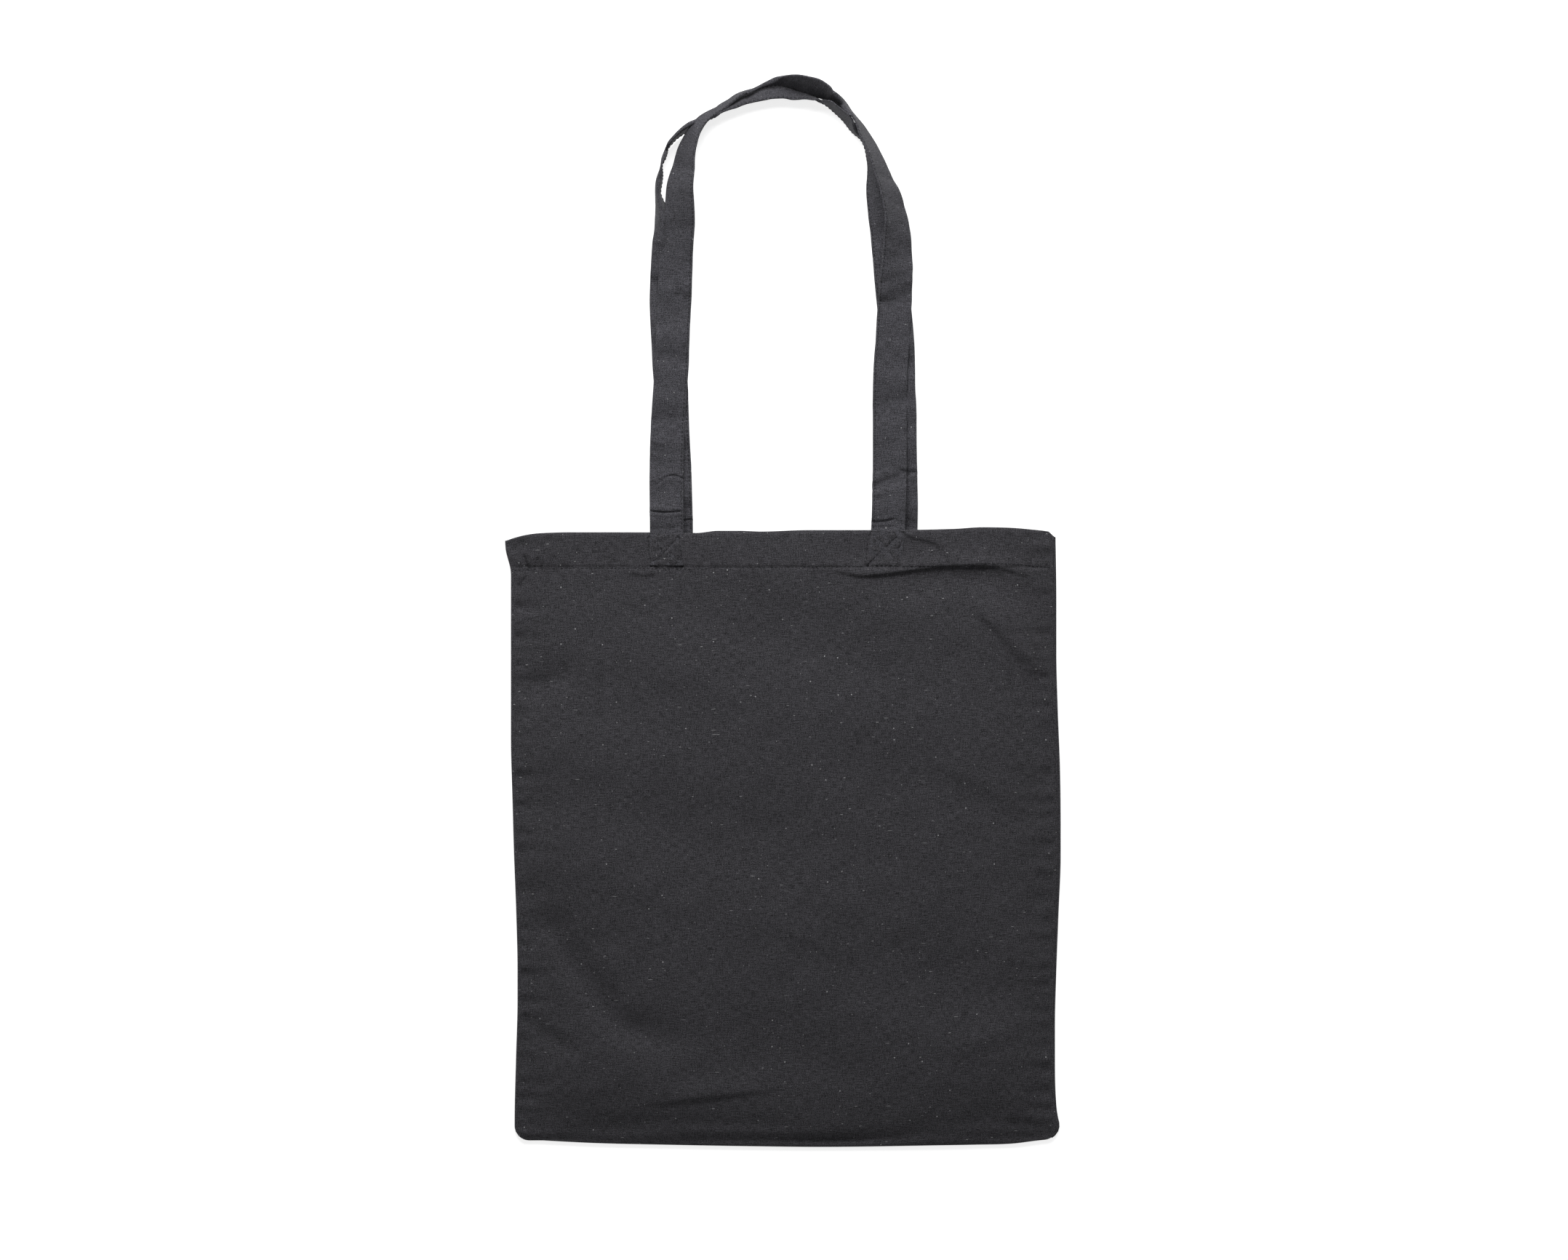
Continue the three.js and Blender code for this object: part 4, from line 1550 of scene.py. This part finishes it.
# Stations of each strap: its middle in millimetres from the bag's middle line and beyond its mouth,
# its width as seen from above, where its crest lies from its inner (0) to its outer (1) rail, and
# how far it is lifted. It lies flat where it shows its whole width.
FRONT_STATIONS = (
    (-80.4, -23.8, 24, -0.2, 0), (-80.3, 0, 24, -0.2, 0), (-80.6, 40, 24, -0.2, 0),
    (-79.6, 75, 24, -0.2, 0), (-78.0, 100, 24, -0.2, 0), (-77.0, 115, 24, -0.2, 0),
    (-76.5, 130, 24, -0.2, 0), (-75.8, 148, 24, -0.2, 0), (-74.8, 165, 23.5, -0.2, 0.5),
    (-74.0, 190, 23.3, -0.2, 2), (-72.8, 205, 22.6, -0.2, 4.5), (-71.6, 220, 21.2, -0.2, 8),
    (-71.0, 235, 19.2, -0.2, 9), (-69.4, 250, 16.2, -0.2, 9), (-66.2, 265, 12.6, -0.2, 10),
    (-61.4, 276.8, 10.0, -0.2, 12), (-55.3, 285.0, 7.6, -0.2, 8), (-48.3, 290.6, 5.8, -0.2, 4),
    (-40.2, 296.2, 4.9, -0.2, 2), (-33.4, 300.1, 4.2, -0.2, 1.6), (-27.0, 303.7, 3.4, -0.1, 1.6),
    (-20.7, 306.4, 3.4, 0.3, 1.3), (-14.4, 309.0, 3.8, 0.55, 1.3), (-8.1, 311.0, 4.8, 0.8, 1.3),
    (-1.8, 312.7, 6.4, 1.0, 1.3), (4.5, 312.3, 8.4, 1.2, 1.3), (10.9, 310.9, 10.5, 1.2, 1.3),
    (17.2, 309.2, 12.4, 1.2, 1.3), (23.0, 307.8, 12.8, 1.2, 1), (28.0, 305.3, 11.0, 1.15, 0.8),
    (32.5, 302.4, 9.2, 1.0, 0.5), (37.0, 299.4, 8.4, 0.8, 0.3), (43.0, 294.3, 6.6, 0.38, 0),
    (47.8, 289.3, 4.1, 0.05, 0), (51.6, 284.5, 4.8, -0.2, 0), (55.2, 278.4, 6.8, -0.2, 0),
    (58.6, 271.8, 8, -0.2, 0.5), (62.2, 265, 9.0, -0.2, 1.5), (68.6, 250, 10.8, -0.2, 2.5),
    (74.4, 235, 13.2, -0.2, 2.5), (78.3, 220, 15.8, -0.2, 2), (79.4, 205, 18.9, -0.2, 1.8),
    (79.7, 190, 21.2, -0.2, 1.5), (78.6, 175, 22.8, -0.2, 0.7), (78.0, 160, 23.5, -0.2, 0),
    (77.0, 145, 24, -0.2, 0), (76.2, 130, 24, -0.2, 0), (75.0, 115, 24, -0.2, 0),
    (74.5, 100, 24, -0.2, 0), (74.4, 70, 24, -0.2, 0), (74.3, 40, 24, -0.2, 0),
    (73.9, 20, 24, -0.2, 0), (73.1, 0, 24, -0.2, 0), (70.2, -23.8, 24, -0.2, 0),
)  # fmt: skip
BACK_STATIONS = (
    (-74.6, -23.8, 24, 1.2, 0), (-74.0, 0, 24, 1.2, 0), (-74.3, 15, 24, 1.2, 0),
    (-75.1, 42, 24, 1.2, 0), (-76.5, 70, 24, 1.2, 0), (-77.1, 88, 24, 1.2, 0),
    (-77.6, 102, 24, 1.2, 0), (-78.6, 115, 24, 1.2, 0), (-79.3, 130, 24, 1.2, 0),
    (-80.1, 145, 24, 1.2, 0), (-80.6, 160, 24, 1.2, 0), (-80.2, 175, 23.5, 1.2, 0),
    (-79.6, 190, 23, 0.9, 0), (-79.6, 205, 20.5, 0.75, 0), (-82.2, 217, 13.5, 0.6, 0),
    (-85.1, 227, 7.4, 0.5, 0), (-86.7, 235, 4.6, 0.5, 0), (-85.9, 243, 4.2, 0.5, 0),
    (-84.6, 249, 3.2, 0.4, 0), (-84.0, 254, 1.7, 0.3, 0), (-82.4, 259, 3.2, 0.3, 0),
    (-81.3, 262.6, 2.8, 0.4, 0), (-80.4, 265.6, 1.8, 0.6, 0), (-78.0, 269.5, 3.2, 0.85, 0),
    (-74.7, 273.3, 3.7, 0.9, 0), (-70.0, 277.5, 4.6, 0.9, 0), (-65.3, 281, 4.9, 0.8, 0),
    (-57.0, 285.2, 5.0, 0.5, 0), (-47.5, 289.8, 5.4, 0.2, 0), (-40.2, 294.4, 7.2, -0.2, 0),
    (-34.0, 297.4, 8.6, -0.2, 0), (-28.0, 300.0, 9.2, -0.2, 0), (-22.0, 301.7, 9.6, -0.2, 0),
    (-16.0, 303.2, 9.8, -0.2, 0), (-10.0, 304.6, 10.8, -0.2, 0), (-4.0, 304.5, 10.2, -0.2, 0),
    (2.0, 304.9, 10.2, -0.2, 0), (8.0, 304.2, 9.8, -0.2, 0), (14.0, 303.2, 8, -0.2, 0),
    (20.0, 301, 4.8, -0.1, 0), (23.7, 299.6, 3.4, 0.1, 0), (26.4, 298.6, 2.7, 0.4, 0),
    (29.2, 297.9, 3.5, 0.8, 0), (33.6, 296.0, 4.8, 1.2, 0), (37.4, 292.9, 5.2, 1.2, 0),
    (43.2, 286.9, 6.1, 1.2, 0), (47.3, 282.3, 6.2, 1.0, 0), (51.2, 277.6, 4.6, 0.7, 0),
    (54.8, 274.6, 4.5, 0.5, 0), (58.8, 268.5, 5.5, 0.45, 0), (61.6, 262.5, 8, 0.45, 0),
    (63.8, 255.5, 11, 0.5, 0), (65.2, 249, 13.8, 0.5, 0), (67.3, 236, 18, 0.55, 0),
    (70.0, 220, 21, 0.7, 0), (72.4, 205, 22.6, 0.9, 0), (74.3, 190, 23.3, 1.2, 0),
    (75.5, 175, 23.5, 1.2, 0), (77.0, 160, 24, 1.2, 0), (78.6, 145, 24, 1.2, 0),
    (79.8, 130, 24, 1.2, 0), (80.3, 115, 24, 1.2, 0), (80.4, 100, 24, 1.2, 0),
    (81.2, 85, 24, 1.2, 0), (81.4, 62, 24, 1.2, 0), (81.8, 40, 24, 1.2, 0), (82.2, 18, 24, 1.2, 0),
    (82.0, 0, 24, 1.2, 0), (81.9, -23.8, 24, 1.2, 0),
)  # fmt: skip
FRONT_CREASES = (
    Crease(14.0, 1.55, 0.95, bow=-1.0, reach=(0.06, 1.0)),
    Crease(36, 1.35, 0.95, slant=-4, bow=4.5, reach=(0.0, 0.78)),
    Crease(54, 0.75, 3.2, slant=3),
    Crease(80, 0.83, 5.0, slant=-5),
    Crease(116, 0.75, 6.0, slant=4),
    Crease(149, 0.75, 5.0, slant=-6),
    Crease(184, 0.9, 5.5, slant=5),
    Crease(212, 0.75, 6.0, slant=-4),
    Crease(6.3, 1.49, 0.95, slant=2.2, bow=-0.8, reach=(0.0, 0.65), right=True),
    Crease(31, 2.1, 2.8, slant=7, right=True),
    Crease(42, 2.2, 2.0, slant=-2, reach=(0.8, 1.0), right=True),
    Crease(67, 0.75, 3.5, reach=(0.7, 1.0), right=True),
    Crease(87, 0.75, 5.0, slant=4, right=True),
    Crease(124, 0.75, 5.0, slant=-5, right=True),
    Crease(158, 0.98, 5.0, slant=6, right=True),
    Crease(172, 0.75, 2.6, slant=8, right=True),
    Crease(205, 0.9, 5.0, slant=-10, right=True),
    Crease(236, 0.9, 4.0, slant=-12, right=True),
    Crease(254, 0.75, 2.5, slant=-12, right=True),
)
BACK_CREASES = (
    Crease(8.0, 1.35, 0.95, slant=-2, reach=(0.0, 0.6)),
    Crease(46, 0.75, 3.0),
    Crease(96, 0.75, 4.0),
    Crease(200, 0.5, 5.0, slant=6),
    Crease(224, 1.05, 3.0),
    Crease(40.5, 1.5, 1.6, reach=(0.55, 1.0), right=True),
    Crease(90, 0.75, 4.0, right=True),
    Crease(210, 0.75, 5.0, right=True),
)


# ---------------------------------------------------------------------------------------------
# Studio


@dataclass(frozen=True)
class Studio:
    """A white floor, a broad light beyond the handles, soft fill, and a camera straight above."""

    camera_height: float = 10.0
    frame_width: float = 1.0894
    aim: tuple[float, float] = (0.001, -0.0131)
    sensor: float = 36.0
    floor_size: float = 14.0
    floor_shade: float = 0.5
    floor_glow: float = 0.75
    key_place: tuple[float, float, float] = (-0.1, 0.9, 0.88)
    key_power: float = 17.6
    key_size: float = 0.48
    fill: float = 0.28

    def camera(self) -> None:
        """Makes the camera that looks straight down on the bag."""
        data = bpy.data.cameras.new("camera")
        data.sensor_width = self.sensor
        data.lens = self.sensor * self.camera_height / self.frame_width
        data.clip_end = 60
        eye = bpy.data.objects.new("camera", data)
        eye.location = (*self.aim, self.camera_height)
        bpy.context.scene.collection.objects.link(eye)
        bpy.context.scene.camera = eye

    def floor(self) -> None:
        """Makes the plain pale floor under the bag."""
        half = self.floor_size / 2
        mesh = bpy.data.meshes.new("floor")
        corners = [(-half, -half, 0), (half, -half, 0), (half, half, 0), (-half, half, 0)]
        mesh.from_pydata(corners, [], [(0, 1, 2, 3)])
        floor = bpy.data.objects.new("floor", mesh)
        bpy.context.scene.collection.objects.link(floor)
        paint = bpy.data.materials.new("floor_paint")
        paint.use_nodes = True
        shader = paint.node_tree.nodes["Principled BSDF"]
        shader.inputs["Base Color"].default_value = (*[self.floor_shade] * 3, 1)
        shader.inputs["Roughness"].default_value = 0.9
        shader.inputs["Specular IOR Level"].default_value = 0.0
        shader.inputs["Emission Color"].default_value = (1, 1, 1, 1)
        shader.inputs["Emission Strength"].default_value = self.floor_glow
        mesh.materials.append(paint)

    def lights(self) -> None:
        """Makes the broad key light, and the even fill from all round."""
        data = bpy.data.lights.new("key_light", "AREA")
        data.shape = "RECTANGLE"
        data.size = self.key_size * 1.6
        data.size_y = self.key_size
        data.energy = self.key_power
        key = bpy.data.objects.new("key_light", data)
        key.location = self.key_place
        aim = Vector((0.0, -0.1, 0.0)) - key.location
        key.rotation_euler = aim.to_track_quat("-Z", "Y").to_euler()
        bpy.context.scene.collection.objects.link(key)
        world = bpy.data.worlds.new("studio")
        world.use_nodes = True
        world.node_tree.nodes["Background"].inputs["Color"].default_value = (1, 1, 1, 1)
        world.node_tree.nodes["Background"].inputs["Strength"].default_value = self.fill
        bpy.context.scene.world = world
        bpy.context.scene.view_settings.view_transform = "Standard"

    def build(self) -> None:
        """Sets up the floor, the lights and the camera."""
        self.camera()
        self.floor()
        self.lights()


def main() -> None:
    """Builds the bag piece by piece around the frame."""
    logging.basicConfig(level=logging.INFO, format="%(name)s: %(message)s")
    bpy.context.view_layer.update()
    Studio().build()
    wardrobe = Wardrobe()
    outline = Outline.from_frame()
    front_roots = (Root(-80.4, 0.0), Root(73.0, -3.2))
    back_roots = (Root(-74.6, 0.0), Root(81.9, 0.0))
    FrontCloth(outline, front_roots).build(wardrobe)
    BackCloth(outline).build(wardrobe, back_roots)
    front_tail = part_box("front_left_tail")[0].z / MM
    back_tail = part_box("back_left_tail")[0].z / MM
    Strap(
        "front", "front", "front_loop", outline.mouth, FRONT_STATIONS, front_tail, 1.7, 71, FRONT_CREASES,
        nodes=("front_handle", "front_left_tail", "front_right_tail"), slump=(-76.0, 12.0, 0.7),
    ).build(wardrobe)  # fmt: skip
    Strap(
        "back", "back", "back_loop", outline.mouth, BACK_STATIONS, back_tail, 0.0, 72, BACK_CREASES,
        nodes=("back_handle", "back_left_tail", "back_right_tail"), slump=(-62.0, 34.0, 0.5),
    ).build(wardrobe)  # fmt: skip
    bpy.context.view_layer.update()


if __name__ == "__main__":
    main()
